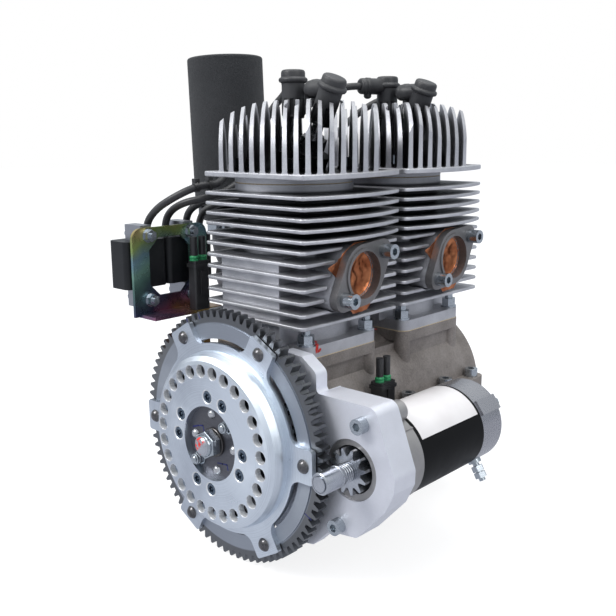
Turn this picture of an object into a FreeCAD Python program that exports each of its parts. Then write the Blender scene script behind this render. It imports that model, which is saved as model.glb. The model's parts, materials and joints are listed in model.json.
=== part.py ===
import FreeCAD
import Part
import math
import os

# In-line upright two-cylinder air-cooled engine with electric starter.
# Millimetres. The crank axis is the Y axis and +Z is up.
# The origin is on the crank axis at the rear face of the crankcase, where the
# drive shaft leaves. -Y is the flywheel end, +X the exhaust side, -X the intake side.

# Cylinders and crank train
bore = 76.0
stroke = 69.0
bore_pitch = 136.0
rear_overhang = 67.0
front_overhang = 57.0
rod_length = 140.0
ring_drops = [4.0, 9.0]
compression_height = 41.5
squish_gap = 1.5
skirt_drop = 33.0
piston_clearance = 0.08
running_gap = 0.05

# Crankcase
case_radius = 72.0
deck_z = case_radius
chamber_radius = 56.0
chamber_half_length = 30.0
neck_half_x = 55.0
neck_half_y = 46.0
pad_half_x = 60.0
pad_half_y = 48.0
pad_thickness = 10.0
split_half_x = case_radius + 15.0
split_thickness = 12.0
split_screw_x = case_radius + 6.0
foot_height = 14.0
foot_hole_radius = 5.0
foot_spacing_x = 110.0
foot_spacing_y = 180.0
foot_size = 30.0
cover_screw_circle = 100.0
drive_hole_radius = 4.0
split_screw_y = [-238.0, -193.0, -131.0, -69.0, -22.0]
bearing_outer = 36.0
bearing_inner = 17.5
bearing_width = 17.0
seal_width = 7.0
drive_shaft_radius = 15.0
drive_shaft_end_y = 52.0
screw_fit = 0.05

# Cylinder casting
base_gasket = 0.8
base_flange = 10.0
stud_half_x = 51.0
stud_half_y = 40.3
liner_skirt_radius = 42.5
liner_skirt_drop = 18.0
barrel_radius = 50.0
collar_radius = 53.0
cylinder_top_z = stroke / 2 + rod_length + compression_height + squish_gap
fin_low_x = -51.0
fin_high_x = 70.0
fin_half_y = 63.6
fin_corner = 5.0
fin_bulge = 12.0
fin_edge = 1.1
bulged_fin_count = 5
fin_thickness = 3.2
top_fin_z = cylinder_top_z - 8.4
upper_fin_pitch = 8.8
upper_fin_count = 6
lower_fin_pitch = 10.4
lower_fin_count = 6
transfer_half_x = 36.0
transfer_depth = 57.0
transfer_top_z = 158.0

# Exhaust side
exhaust_z = 142.0
exhaust_port_z = 160.0
exhaust_face_x = 82.0
exhaust_plate = 7.5
exhaust_bore_radius = 20.5
exhaust_plate_radius = 26.5
exhaust_screw_dy = 26.0
exhaust_screw_dz = 18.0
exhaust_ear_radius = 10.5
exhaust_room = 1.5
foil_thickness = 0.4

# Head
head_gasket = 1.0
head_spigot_radius = 53.0
head_plate_bottom_z = cylinder_top_z + 5.9
head_plate_thickness = 4.6
head_fin_count = 15
head_fin_pitch = 9.5
head_fin_offset = -2.8
head_fin_angle = 42.2
head_fin_root = 4.3
head_fin_tip = 3.0
head_fin_flare = 1.4
head_fin_height = 60.0
head_fin_inset = 2.5
head_fin_rounding = 45.0
head_nut_half = 33.0
chamber_depth = 14.0

# Spark plugs, measured from the bore axis
plug_a_x = -8.0
plug_a_y = 8.0
plug_b_x = 21.0
plug_b_y = -1.0
plug_b_tilt = 22.0
plug_seat_z = cylinder_top_z + 26.5
plug_thread_radius = 7.0
plug_reach = 12.7
plug_insulator_top = 40.0
cap_start = 29.0
plug_well_radius = 15.0
cap_radius = 10.3
cap_length = 42.0
cap_step = 16.3
cap_flutes = 10
cap_elbow_radius = 7.9
cap_elbow_drop = 10.0
cap_reach = 32.0
cap_angles = [160.0, 168.0, 250.0, 171.0]

# Flywheel, from the crankcase outwards
gear_teeth = 80
gear_module = 2.75
gear_tip_radius = 112.75
gear_root_radius = 106.6
gear_step_radius = 101.0
gear_inner_radius = 88.0
gear_front_y = -290.2
gear_width = 10.0
gear_step = 1.0
ear_thickness = 4.6
ear_count = 6
ear_width = 29.0
ear_outer_radius = 106.0
ear_first_angle = 0.9
rivet_circle = 96.3
scallop_radius = 85.0
dish_front_y = -311.4
dish_wall = 6.0
dish_front_radius = 72.0
dish_base_radius = 79.0
vent_count = 27
vent_radius = 5.8
vent_circle = 63.7
dish_recess_radius = 33.0
dish_screw_circle = 41.6
dish_screw_angles = [91.0, 64.5, 0.0, -26.0, -89.0, -116.0, 180.5, 154.0]
rotor_radius = 54.0
rotor_floor = 5.0
rotor_wall = 6.0
rotor_rear_y = -267.0
hub_rivet_circle = 25.0
hub_rivet_angles = [95.0, 176.0, -3.0, -84.0]
hub_stud_circle = 26.5
hub_stud_angles = [45.0, 225.0]
nose_radius = 12.5
rotor_hub_radius = 21.0
rotor_seat_y = -283.0
shaft_front_y = -321.0

# Starter and its bracket
pinion_teeth = 12
pinion_tip_radius = 19.0
pinion_root_radius = 13.3
pinion_rest_y = -277.7
pinion_travel = 9.0
spring_solid_height = 0.6
spring_wire_radius = 0.8
spring_turns = 4
pinion_length = 15.0
bracket_front_y = -273.0
bracket_thickness = 13.0
bracket_depth = 27.0
bracket_step_x = 92.0
starter_hole_radius = 25.5
starter_screw_dx = 11.7
starter_screw_dz = 45.6
starter_screw_drop = 5.0
bracket_screw_spots = [(62.0, 16.0), (62.0, -16.0), (56.0, 34.0), (56.0, -34.0)]
bracket_screw_length = 16.0
bracket_screw_sink = 6.0
starter_radius = 37.5
starter_front_y = -227.0
starter_can_end_y = -137.0
starter_cap_end_y = -103.0
starter_relief = 1.2
through_bolt_circle = 31.0
through_bolt_angle = 37.0
terminal_angle = -60.0
terminal_y = -121.0
armature_radius = 26.0
starter_shaft_radius = 6.0
cup_radius = 8.9
cup_tip_y = -310.3

# Ignition coils on their plate
coil_plate_x = -97.0
coil_plate_thickness = 3.0
coil_plate_y = [-312.0, -226.0]
coil_plate_z = [96.0, 177.0]
coil_screw_y = [-294.5, -246.0]
coil_screw_z = [110.5, 170.0]
coil_window_y = 23.7
coil_window_z = 27.0
coil_window_cut = 11.0
coil_leg_x = -75.5
coil_x = -119.0
coil_depth = 28.0
coil_spans_y = [(-313.5, -267.5), (-266.5, -211.0)]
coil_corner = 6.0
coil_bottom_z = 120.5
coil_height = 44.0
core_width = 12.0
lead_feet_y = [-280.5, -258.6, -233.3, -217.0]
lead_radius = 3.5
lead_starts = {"a": 14.0, "b": 6.0}
lead_clear_x = 11.5
lead_clear_y = 18.5

# Intake
intake_z = 125.0
intake_face_x = -57.0
runner_x = -78.0
runner_radius = 17.0
branch_radius = 15.5
carb_y = -146.0
carb_inner_x = -96.0
carb_half_y = 24.0
carb_half_z = 22.0
carb_throat_radius = 16.0
manifold_neck_radius = 22.0
carb_length = 28.0
spigot_radius = 19.0
spigot_length = 8.0
spindle_radius = 4.0
intake_screw_dz = 23.0
filter_x = -148.0
filter_radius = 39.0
filter_bottom_z = 184.0
filter_height = 151.0

front_bore_y = -(rear_overhang + bore_pitch)
rear_bore_y = -rear_overhang
bores = [front_bore_y, rear_bore_y]
case_front_y = front_bore_y - front_overhang
throw = stroke / 2
starter_x = (gear_teeth + pinion_teeth) * gear_module / 2
base_z = deck_z + base_gasket
flange_top_z = base_z + base_flange
head_z = cylinder_top_z + head_gasket
plate_top_z = head_plate_bottom_z + head_plate_thickness
fin_mid_x = (fin_low_x + fin_high_x) / 2
upper_fins = [top_fin_z - i * upper_fin_pitch for i in range(upper_fin_count)]
lower_fins = [upper_fins[-1] - (i + 1) * lower_fin_pitch for i in range(lower_fin_count)]
gear_rear_y = gear_front_y + gear_width
ear_rear_y = gear_front_y - gear_step
ear_front_y = ear_rear_y - ear_thickness
hub_front_y = dish_front_y + dish_wall

X = FreeCAD.Vector(1, 0, 0)
Y = FreeCAD.Vector(0, 1, 0)
Z = FreeCAD.Vector(0, 0, 1)
nodes = {}


def at(x, y, z):
    return FreeCAD.Vector(x, y, z)


def box(x0, x1, y0, y1, z0, z1):
    return Part.makeBox(x1 - x0, y1 - y0, z1 - z0, at(x0, y0, z0))


def rod_x(radius, x0, x1, y, z):
    return Part.makeCylinder(radius, x1 - x0, at(x0, y, z), X)


def rod_y(radius, y0, y1, x=0.0, z=0.0):
    return Part.makeCylinder(radius, y1 - y0, at(x, y0, z), Y)


def rod_z(radius, z0, z1, x, y):
    return Part.makeCylinder(radius, z1 - z0, at(x, y, z0), Z)


def tube_y(outer, inner, y0, y1, x=0.0, z=0.0):
    return rod_y(outer, y0, y1, x, z).cut(rod_y(inner, y0 - 1, y1 + 1, x, z))


def hexagon(across_flats, centre, direction, height):
    # hexagonal prism whose axis starts at centre and runs along direction
    corner = across_flats / math.sqrt(3)
    points = [at(corner * math.cos(math.radians(60 * i)), corner * math.sin(math.radians(60 * i)), 0)
              for i in range(7)]
    prism = Part.Face(Part.makePolygon(points)).extrude(at(0, 0, height))
    turn = FreeCAD.Rotation(Z, direction)
    prism.Placement = FreeCAD.Placement(centre, turn)
    return prism


def polar_y(radius, angle, y):
    # a point at an angle from +X towards +Z round the crank axis
    a = math.radians(angle)
    return at(radius * math.cos(a), y, radius * math.sin(a))


def revolve_y(profile, x=0.0, z=0.0):
    # profile is a closed list of radius and y pairs
    points = [at(r, y, 0) for r, y in profile]
    face = Part.Face(Part.makePolygon(points + points[:1]))
    solid = face.revolve(at(0, 0, 0), Y, 360)
    solid.translate(at(x, 0, z))
    return solid


def rounded_slab(x0, x1, y0, y1, z0, z1, radius):
    slab = box(x0, x1, y0, y1, z0, z1)
    upright = [e for e in slab.Edges if abs(e.tangentAt(e.FirstParameter).z) > 0.99]
    return slab.makeFillet(radius, upright)


def fin_slab(bulge, inset, z0, z1, edge=0.0):
    # a fin's outline, its exhaust side either straight or bowed outwards
    low, high, half = fin_low_x + inset, fin_high_x - inset, fin_half_y - inset
    corners = [at(high, -half, z0), at(low, -half, z0), at(low, half, z0), at(high, half, z0)]
    sides = [Part.LineSegment(a, b).toShape() for a, b in zip(corners, corners[1:])]
    if bulge:
        sides.append(Part.Arc(corners[3], at(high + bulge, 0, z0), corners[0]).toShape())
    else:
        sides.append(Part.LineSegment(corners[3], corners[0]).toShape())
    slab = Part.Face(Part.Wire(sides)).extrude(at(0, 0, z1 - z0))
    slab = slab.makeFillet(fin_corner, [e for e in slab.Edges if e.BoundBox.ZLength > z1 - z0 - 0.1])
    if edge:
        slab = slab.makeFillet(edge, [e for e in slab.Edges if e.BoundBox.ZLength < 0.1])
    return slab


def upright_edges(shape, length):
    # straight edges along Y of at least the length asked for
    return [e for e in shape.Edges
            if isinstance(e.Curve, Part.Line) and abs(e.tangentAt(e.FirstParameter).y) > 0.99
            and e.Length > length]


def tidy(shape):
    # merges split faces where that leaves a sound solid
    merged = shape.removeSplitter()
    return merged if merged.isValid() else shape


def fuse(shapes):
    return tidy(shapes[0].fuse(shapes[1:]))


def largest(shape):
    return max(shape.Solids, key=lambda solid: solid.Volume)


def group(shapes):
    solids = [s for shape in shapes for s in shape.Solids]
    return Part.makeCompound(solids)


def pipe(points, radius):
    # straight runs joined by arcs as large as the runs allow
    path = []
    start = points[0]
    for before, corner, after in zip(points, points[1:], points[2:]):
        a = (before - corner)
        b = (after - corner)
        turn = math.pi - a.getAngle(b)
        reach = 0.45 * min(a.Length, b.Length)
        entry = corner + a.normalize() * reach
        leave = corner + b.normalize() * reach
        bisector = (a + b).normalize()
        bend = reach / math.tan(turn / 2)
        middle = corner + bisector * (bend / math.cos(turn / 2) - bend)
        path.append(Part.LineSegment(start, entry).toShape())
        path.append(Part.Arc(entry, middle, leave).toShape())
        start = leave
    path.append(Part.LineSegment(start, points[-1]).toShape())
    wire = Part.Wire(path)
    section = Part.Wire([Part.makeCircle(radius, points[0], points[1] - points[0])])
    return wire.makePipeShell([section], True, False)


def moved(shape, y):
    copy = shape.copy()
    copy.translate(at(0, y, 0))
    return copy


# Crankcase halves, split on the crank axis
def make_case():
    body = rod_y(case_radius, case_front_y, 0)
    lugs = box(-split_half_x, split_half_x, case_front_y + 8, -8, -split_thickness, split_thickness)
    lugs = lugs.makeFillet(10, [e for e in lugs.Edges if abs(e.tangentAt(e.FirstParameter).z) > 0.99])
    parts = [body, lugs]
    for y in bores:
        parts.append(rounded_slab(-neck_half_x, neck_half_x, y - neck_half_y, y + neck_half_y, 10, deck_z, 8))
        parts.append(rounded_slab(-pad_half_x, pad_half_x, y - pad_half_y, y + pad_half_y,
                                  deck_z - pad_thickness, deck_z, 10))
        for sx in (-1, 1):
            for sy in (-1, 1):
                parts.append(rod_z(8.5, 20, deck_z, sx * stud_half_x, y + sy * stud_half_y))
    for sx in (-1, 1):
        for sy in (-1, 1):
            x = sx * foot_spacing_x / 2
            y = (case_front_y - 0) / 2 + sy * foot_spacing_y / 2
            parts.append(rounded_slab(x - foot_size / 2, x + foot_size / 2, y - foot_size / 2, y + foot_size / 2,
                                      -case_radius - foot_height, -split_thickness, 6))
    middle = rounded_slab(-48, 48, case_front_y / 2 - 24, case_front_y / 2 + 24, 30, deck_z - 12, 8)
    parts.append(middle)
    case = fuse(parts)
    cuts = []
    for y in bores:
        cuts.append(rod_y(chamber_radius, y - chamber_half_length, y + chamber_half_length))
        cuts.append(rod_z(liner_skirt_radius + 0.3, 0, deck_z + 1, 0, y))
    cuts.append(rod_y(bearing_outer + 0.03, case_front_y - 1, front_bore_y - chamber_half_length + 1))
    cuts.append(rod_y(bearing_outer + 0.03, front_bore_y + chamber_half_length - 1,
                      rear_bore_y - chamber_half_length + 1))
    cuts.append(rod_y(bearing_outer + 0.03, rear_bore_y + chamber_half_length - 1, 1))
    for sx in (-1, 1):
        for sy in (-1, 1):
            x = sx * foot_spacing_x / 2
            y = case_front_y / 2 + sy * foot_spacing_y / 2
            cuts.append(rod_z(foot_hole_radius, -case_radius - foot_height - 1, -case_radius + 6, x, y))
        for y in split_screw_y:
            cuts.append(rod_z(4.2, -split_thickness - 1, split_thickness + 1, sx * split_screw_x, y))
    for i in range(6):
        spot = polar_y(cover_screw_circle / 2, 30 + 60 * i, 0)
        cuts.append(rod_y(drive_hole_radius, -18, 1, spot.x, spot.z))
    for y in bores:
        for sx in (-1, 1):
            for sy in (-1, 1):
                cuts.append(rod_z(4.0, deck_z - 22, deck_z + 1, sx * stud_half_x, y + sy * stud_half_y))
    for x, z in bracket_screw_spots:
        reach = bracket_screw_length - (bracket_thickness - bracket_screw_sink)
        cuts.append(rod_y(3.0 + screw_fit, case_front_y - 1, case_front_y + reach + 1, x, z))
    cuts.append(rod_y(starter_radius + starter_relief, starter_front_y - 5, starter_cap_end_y + 5, starter_x))
    case = case.cut(cuts)
    slab = box(-200, 200, case_front_y - 10, 10, 0, 200)
    return case.common(slab), case.cut(slab)


upper, lower = make_case()
nodes["crankcase_upper"] = upper
nodes["crankcase_lower"] = lower


def socket_screw(centre, direction, head_radius, head_height, shank_radius, shank_length, socket=True):
    # the head stands out along direction, the shank runs the other way
    head = Part.makeCylinder(head_radius, head_height, centre, direction)
    if socket:
        well = hexagon(head_radius * 0.95, centre + direction * (head_height * 0.5), direction, head_height)
        head = head.cut(well)
    shank = Part.makeCylinder(shank_radius, shank_length, centre - direction * shank_length, direction)
    return tidy(head.fuse(shank))


case_screws = []
for sx in (-1, 1):
    for y in split_screw_y:
        # the front screw of the intake side also clamps the foot of the coil plate
        lift = coil_plate_thickness if sx < 0 and y == split_screw_y[0] else 0
        top = at(sx * split_screw_x, y, split_thickness + lift)
        case_screws.append(socket_screw(top, Z, 6.5, 8, 4.15, 2 * split_thickness - 2))
nodes["crankcase_screws"] = group(case_screws)


# Main bearings and shaft seals, open rings round the shaft
def bearing(y):
    return tube_y(bearing_outer, bearing_inner + running_gap, y, y + bearing_width)


bearing_starts = [front_bore_y - chamber_half_length - bearing_width - 1,
                  front_bore_y + chamber_half_length + 1,
                  rear_bore_y - chamber_half_length - bearing_width - 1,
                  rear_bore_y + chamber_half_length + 1]
nodes["main_bearings"] = group([bearing(y) for y in bearing_starts])
seal_starts = [case_front_y + 1, (front_bore_y + rear_bore_y - seal_width) / 2, -seal_width - 1]
nodes["shaft_seals"] = group([tube_y(bearing_outer, bearing_inner + running_gap, y, y + seal_width)
                              for y in seal_starts])


# Crankshaft, front pin up and rear pin down
def make_crankshaft():
    web = 14.0
    pin_width = 24.0
    parts = [rod_y(bearing_inner, case_front_y - 6, -14)]
    cuts = []
    for y, side in ((front_bore_y, 1), (rear_bore_y, -1)):
        reach = pin_width / 2 + web
        for start in (y - reach, y + pin_width / 2):
            disc = rod_y(52, start, start + web)
            relief = rod_y(16, start - 1, start + web + 1, 40, side * 42)
            relief2 = rod_y(16, start - 1, start + web + 1, -40, side * 42)
            parts.append(disc.cut([relief, relief2]))
        parts.append(rod_y(14, y - reach + 2, y + reach - 2, 0, side * throw))
        cuts.append(box(-60, 60, y - pin_width / 2, y + pin_width / 2, -25, 25))
    shaft = parts[0].cut(cuts)
    shaft = fuse([shaft] + parts[1:])
    nose = revolve_y([(0, case_front_y - 5), (16, case_front_y - 5), (16, rotor_seat_y), (nose_radius, rotor_seat_y),
                      (nose_radius, hub_front_y), (8, hub_front_y), (8, shaft_front_y + 1.5),
                      (6.5, shaft_front_y), (0, shaft_front_y)])
    drive = revolve_y([(0, -15), (bearing_inner, -15), (bearing_inner, 12), (drive_shaft_radius, 14),
                       (drive_shaft_radius, drive_shaft_end_y), (9, drive_shaft_end_y), (9, 68), (7.5, 70), (0, 70)])
    key = box(-3, 3, 18, 46, drive_shaft_radius - 2, drive_shaft_radius + 1)
    return fuse([shaft, nose, drive.cut(key)])


nodes["crankshaft"] = make_crankshaft()


# Pistons, front at the top and rear at the bottom of the stroke
def make_piston(pin_z, y):
    radius = bore / 2 - piston_clearance
    crown = pin_z + compression_height
    body = revolve_z([(0, pin_z - skirt_drop), (radius, pin_z - skirt_drop), (radius, crown - 1.5),
                      (radius - 1.5, crown), (radius * 0.5, crown + 1.2), (0, crown + 1.6)], 0, y)
    hollow = rod_z(radius - 5, pin_z - skirt_drop - 1, crown - 9, 0, y)
    bosses = fuse([rod_x(13, -radius + 2, -14, y, pin_z), rod_x(13, 14, radius - 2, y, pin_z)])
    bosses.rotate(at(0, y, pin_z), Z, 90)
    bosses = bosses.common(rod_z(radius - 2, pin_z - 20, pin_z + 20, 0, y))
    shell = body.cut(hollow).fuse(bosses)
    for drop in ring_drops:
        groove = rod_z(radius + 1, crown - drop - 2.1, crown - drop, 0, y)
        core = rod_z(radius - 3.4, crown - drop - 3, crown - drop + 1, 0, y)
        shell = shell.cut(groove.cut(core))
    pin = rod_y(9.05, y - radius + 2.5, y + radius - 2.5, 0, pin_z)
    rings = []
    for drop in ring_drops:
        ring = rod_z(bore / 2 - 0.03, crown - drop - 2, crown - drop - 0.1, 0, y)
        ring = ring.cut(rod_z(radius - 3.3, crown - drop - 3, crown - drop + 1, 0, y))
        ring = ring.cut(box(-0.3, 0.3, y, y + bore, crown - drop - 3, crown - drop + 1))
        rings.append(ring)
    wrist = tube_y(9.0, 5.5, y - radius + 3, y + radius - 3, 0, pin_z)
    return tidy(shell.cut(pin)), wrist, group(rings)


def revolve_z(profile, x, y):
    # profile is a closed list of radius and z pairs
    points = [at(r, 0, z) for r, z in profile]
    face = Part.Face(Part.makePolygon(points + points[:1]))
    solid = face.revolve(at(0, 0, 0), Z, 360)
    solid.translate(at(x, y, 0))
    return solid


for name, y, pin_z in (("front", front_bore_y, throw + rod_length), ("rear", rear_bore_y, rod_length - throw)):
    piston, wrist, rings = make_piston(pin_z, y)
    nodes[name + "_piston"] = piston
    nodes[name + "_pin_and_rings"] = group([wrist, rings])


# Cylinder with its fins, ports and base flange
def exhaust_outline(x0, x1, grow=0.0):
    centre = rod_x(exhaust_plate_radius + grow, x0, x1, 0, exhaust_z)
    shapes = [centre]
    for side in (-1, 1):
        ear = rod_x(exhaust_ear_radius + grow, x0, x1, side * exhaust_screw_dy, exhaust_z + side * exhaust_screw_dz)
        shapes.append(ear)
    # straight flanks tangent to the round middle and the ears
    reach = math.hypot(exhaust_screw_dy, exhaust_screw_dz)
    lean = math.degrees(math.atan2(exhaust_screw_dz, exhaust_screw_dy))
    spread = math.acos((exhaust_plate_radius - exhaust_ear_radius) / reach)
    points = []
    for sign in (1, -1):
        big = (exhaust_plate_radius + grow) * math.cos(spread)
        bigw = (exhaust_plate_radius + grow) * math.sin(spread)
        small = reach + (exhaust_ear_radius + grow) * math.cos(spread)
        smallw = (exhaust_ear_radius + grow) * math.sin(spread)
        points += [at(x0, sign * big, sign * bigw), at(x0, sign * small, sign * smallw),
                   at(x0, sign * small, -sign * smallw), at(x0, sign * big, -sign * bigw)]
    flanks = Part.Face(Part.makePolygon(points + points[:1])).extrude(at(x1 - x0, 0, 0))
    flanks.rotate(at(0, 0, 0), X, lean)
    flanks.translate(at(0, 0, exhaust_z))
    shapes.append(flanks)
    return fuse(shapes)


def make_cylinder():
    boss_x = exhaust_face_x - exhaust_plate - foil_thickness
    barrel = rod_z(barrel_radius, flange_top_z - 1, top_fin_z, 0, 0)
    collar = rod_z(collar_radius, top_fin_z - 1, cylinder_top_z, 0, 0)
    flange = rounded_slab(-pad_half_x, pad_half_x, -pad_half_y, pad_half_y, base_z, flange_top_z, 10)
    skirt = rod_z(liner_skirt_radius, base_z - liner_skirt_drop, base_z + 1, 0, 0)
    transfer = box(-transfer_half_x, transfer_half_x, -transfer_depth, transfer_depth,
                   flange_top_z - 1, transfer_top_z)
    slopes = [e for e in transfer.Edges if abs(e.tangentAt(e.FirstParameter).y) < 0.01
              and abs(e.BoundBox.ZMax - e.BoundBox.ZMin) < 0.01 and e.BoundBox.ZMin > flange_top_z]
    transfer = transfer.makeChamfer(6, slopes)
    transfer = transfer.cut(rounded_slab(-200, 200, -200, 200, 0, base_z, 1))
    parts = [barrel, collar, flange, skirt, transfer]
    for i, z in enumerate(upper_fins + lower_fins):
        bulge = fin_bulge if i < bulged_fin_count else 0
        parts.append(fin_slab(bulge, 0, z - fin_thickness / 2, z + fin_thickness / 2, fin_edge))
    exhaust = exhaust_outline(30, boss_x)
    room = exhaust_outline(52, 90, exhaust_room)
    intake = box(intake_face_x, -30, -22, 22, intake_z - 29, intake_z + 29)
    intake = intake.makeFillet(8, [e for e in intake.Edges if abs(e.tangentAt(e.FirstParameter).x) > 0.99])
    shape = parts[0].fuse(parts[1:])
    shape = shape.cut(room.cut(rod_z(barrel_radius, 80, 230, 0, 0)))
    shape = shape.fuse([exhaust, intake])
    cuts = [rod_z(bore / 2, base_z - liner_skirt_drop - 1, cylinder_top_z + 1, 0, 0)]
    slant = at(boss_x + 1, 0, exhaust_z) - at(20, 0, exhaust_port_z)
    cuts.append(Part.makeCylinder(16.5, slant.Length, at(20, 0, exhaust_port_z), slant))
    cuts.append(rod_x(exhaust_bore_radius - 1, boss_x - 8, boss_x + 1, 0, exhaust_z))
    cuts.append(box(intake_face_x - 1, -30, -16, 16, intake_z - 13, intake_z + 13))
    for side in (-1, 1):
        cuts.append(rod_x(4.0, boss_x - 16, boss_x + 1, side * exhaust_screw_dy, exhaust_z + side * exhaust_screw_dz))
        cuts.append(rod_x(3.0, intake_face_x - 1, intake_face_x + 10, 0, intake_z + side * intake_screw_dz))
        for other in (-1, 1):
            cuts.append(rod_z(4.3, base_z - 1, flange_top_z + 1, side * stud_half_x, other * stud_half_y))
            cuts.append(rod_z(8.8, flange_top_z, lower_fins[-1] + 1.0, side * stud_half_x, other * stud_half_y))
            cuts.append(rod_z(3.5, cylinder_top_z - 14, cylinder_top_z + 1,
                              side * head_nut_half, other * head_nut_half))
    return tidy(shape.cut(cuts))


cylinder = make_cylinder()
nodes["front_cylinder"] = moved(cylinder, front_bore_y)
nodes["rear_cylinder"] = moved(cylinder, rear_bore_y)

gasket = rounded_slab(-pad_half_x, pad_half_x, -pad_half_y, pad_half_y, deck_z, base_z, 10)
gasket = gasket.cut(rod_z(liner_skirt_radius + 0.5, deck_z - 1, base_z + 1, 0, 0))
gasket = gasket.cut([rod_z(4.3, deck_z - 1, base_z + 1, sx * stud_half_x, sy * stud_half_y)
                     for sx in (-1, 1) for sy in (-1, 1)])
nodes["base_gaskets"] = group([moved(gasket, y) for y in bores])


def stud_and_nut(x, y):
    stud = rod_z(4.0, deck_z - 18, flange_top_z + 14, x, y)
    washer = rod_z(8.0, flange_top_z, flange_top_z + 1.6, x, y).cut(rod_z(4.0, 80, 100, x, y))
    nut = hexagon(13.0, at(x, y, flange_top_z + 1.6), Z, 7.5)
    return fuse([stud, washer, nut])


nodes["base_nuts"] = group([stud_and_nut(sx * stud_half_x, y + sy * stud_half_y)
                            for y in bores for sx in (-1, 1) for sy in (-1, 1)])


# Cylinder head with upright fins that run across the corner of the plate
def plug_axis(which):
    if which == "a":
        return at(plug_a_x, plug_a_y, plug_seat_z), at(0, 0, 1)
    tilt = math.radians(plug_b_tilt)
    return at(plug_b_x, plug_b_y, plug_seat_z), at(math.sin(tilt), 0, math.cos(tilt))


def make_head():
    plate = fin_slab(fin_bulge, 0, head_plate_bottom_z, plate_top_z, fin_edge)
    spigot = rod_z(head_spigot_radius, head_z, head_plate_bottom_z + 1, 0, 0)
    foot_z = plate_top_z - 1
    top_z = plate_top_z + head_fin_height
    dome = fin_slab(fin_bulge, head_fin_inset, foot_z, top_z)
    # the tops fall away in a large round towards all four sides
    half_y = fin_half_y - head_fin_inset
    low_x = fin_low_x + head_fin_inset
    high_x = fin_high_x + fin_bulge - head_fin_inset
    rounds = [(box(low_x, high_x, -half_y, half_y, foot_z, top_z), 0),
              (box(low_x, high_x, -half_y, half_y, foot_z, top_z), 1)]
    for block, way in rounds:
        rims = [e for e in block.Edges if e.BoundBox.ZMin > top_z - 0.1
                and abs(e.tangentAt(e.FirstParameter)[way]) > 0.99]
        dome = dome.common(block.makeFillet(head_fin_rounding, rims))
    section = [(-head_fin_root / 2 - head_fin_flare, 0), (-head_fin_root / 2, 1 + head_fin_flare),
               (-head_fin_tip / 2, head_fin_height + 2), (head_fin_tip / 2, head_fin_height + 2),
               (head_fin_root / 2, 1 + head_fin_flare), (head_fin_root / 2 + head_fin_flare, 0)]
    blades = []
    for i in range(head_fin_count):
        offset = (i - (head_fin_count - 1) / 2) * head_fin_pitch + head_fin_offset
        points = [at(offset + across, -120, foot_z + up) for across, up in section]
        blade = Part.Face(Part.makePolygon(points + points[:1])).extrude(at(0, 240, 0))
        blade.rotate(at(0, 0, 0), Z, head_fin_angle)
        blade.translate(at(fin_mid_x, 0, 0))
        blades.append(blade)
    fins = dome.common(Part.makeCompound(blades))
    wells = []
    seats = []
    holes = []
    for which in ("a", "b"):
        base, direction = plug_axis(which)
        wells.append(Part.makeCylinder(plug_well_radius, 90, base, direction))
        seats.append(Part.makeCylinder(plug_well_radius + 2, 20, base - direction * 20, direction))
        holes.append(Part.makeCylinder(plug_thread_radius + 0.05, 60, base - direction * 40, direction))
    # the low bridge between the two wells, where the middle fins dip
    wells.append(box(plug_a_x, plug_b_x + 8, plug_a_y - 12, plug_a_y + 4, plug_seat_z + 4, 320))
    fins = fins.cut(wells)
    spots = [rod_z(8.5, plate_top_z, 300, sx * head_nut_half, sy * head_nut_half)
             for sx in (-1, 1) for sy in (-1, 1)]
    fins = fins.cut(spots)
    pads = [rod_z(8.0, plate_top_z - 1, plate_top_z + 3, sx * head_nut_half, sy * head_nut_half)
            for sx in (-1, 1) for sy in (-1, 1)]
    head = plate.fuse([spigot] + fins.Solids + seats + pads)
    dome_cut = Part.makeSphere(60, at(0, 0, head_z + chamber_depth - 60))
    keep = rod_z(bore / 2 - 2, head_z - 1, head_z + 40, 0, 0)
    head = head.cut([dome_cut.common(keep)] + holes)
    bolts = [rod_z(3.6, head_z - 1, plate_top_z + 4, sx * head_nut_half, sy * head_nut_half)
             for sx in (-1, 1) for sy in (-1, 1)]
    return largest(tidy(head.cut(bolts)))


head = make_head()
nodes["front_head"] = moved(head, front_bore_y)
nodes["rear_head"] = moved(head, rear_bore_y)

seal = rod_z(collar_radius - 1, cylinder_top_z, head_z, 0, 0)
seal = seal.cut([rod_z(bore / 2 + 0.5, cylinder_top_z - 1, head_z + 1, 0, 0)]
                + [rod_z(3.7, cylinder_top_z - 1, head_z + 1, sx * head_nut_half, sy * head_nut_half)
                   for sx in (-1, 1) for sy in (-1, 1)])
nodes["head_gaskets"] = group([moved(seal, y) for y in bores])

head_screws = []
for y in bores:
    for sx in (-1, 1):
        for sy in (-1, 1):
            foot = at(sx * head_nut_half, y + sy * head_nut_half, plate_top_z + 3)
            head_screws.append(socket_screw(foot, Z, 6.5, 8, 3.5, 20, True))
nodes["head_screws"] = group(head_screws)


# Spark plugs and their caps
def make_plug(which, y):
    base, direction = plug_axis(which)
    base = base + at(0, y, 0)
    thread = Part.makeCylinder(plug_thread_radius, plug_reach, base - direction * plug_reach, direction)
    collar = Part.makeCylinder(10, 3, base, direction)
    nut = hexagon(20.8, base + direction * 3, direction, 10)
    neck = Part.makeCylinder(8, 3, base + direction * 13, direction)
    insulator = Part.makeCylinder(5, plug_insulator_top - 16, base + direction * 16, direction)
    terminal = Part.makeCylinder(3, 6, base + direction * plug_insulator_top, direction)
    return fuse([thread, collar, nut, neck, insulator, terminal])


def cap_points(which, y):
    base, direction = plug_axis(which)
    base = base + at(0, y, 0)
    return base + direction * cap_start, base + direction * (cap_start + cap_length), direction


def cap_mouth(end, which):
    # the middle of the elbow's open end, where the lead goes in
    low, top, direction = cap_points(which, bore_ys[end])
    return top - direction * cap_elbow_drop + cap_way[end, which] * cap_reach


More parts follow.
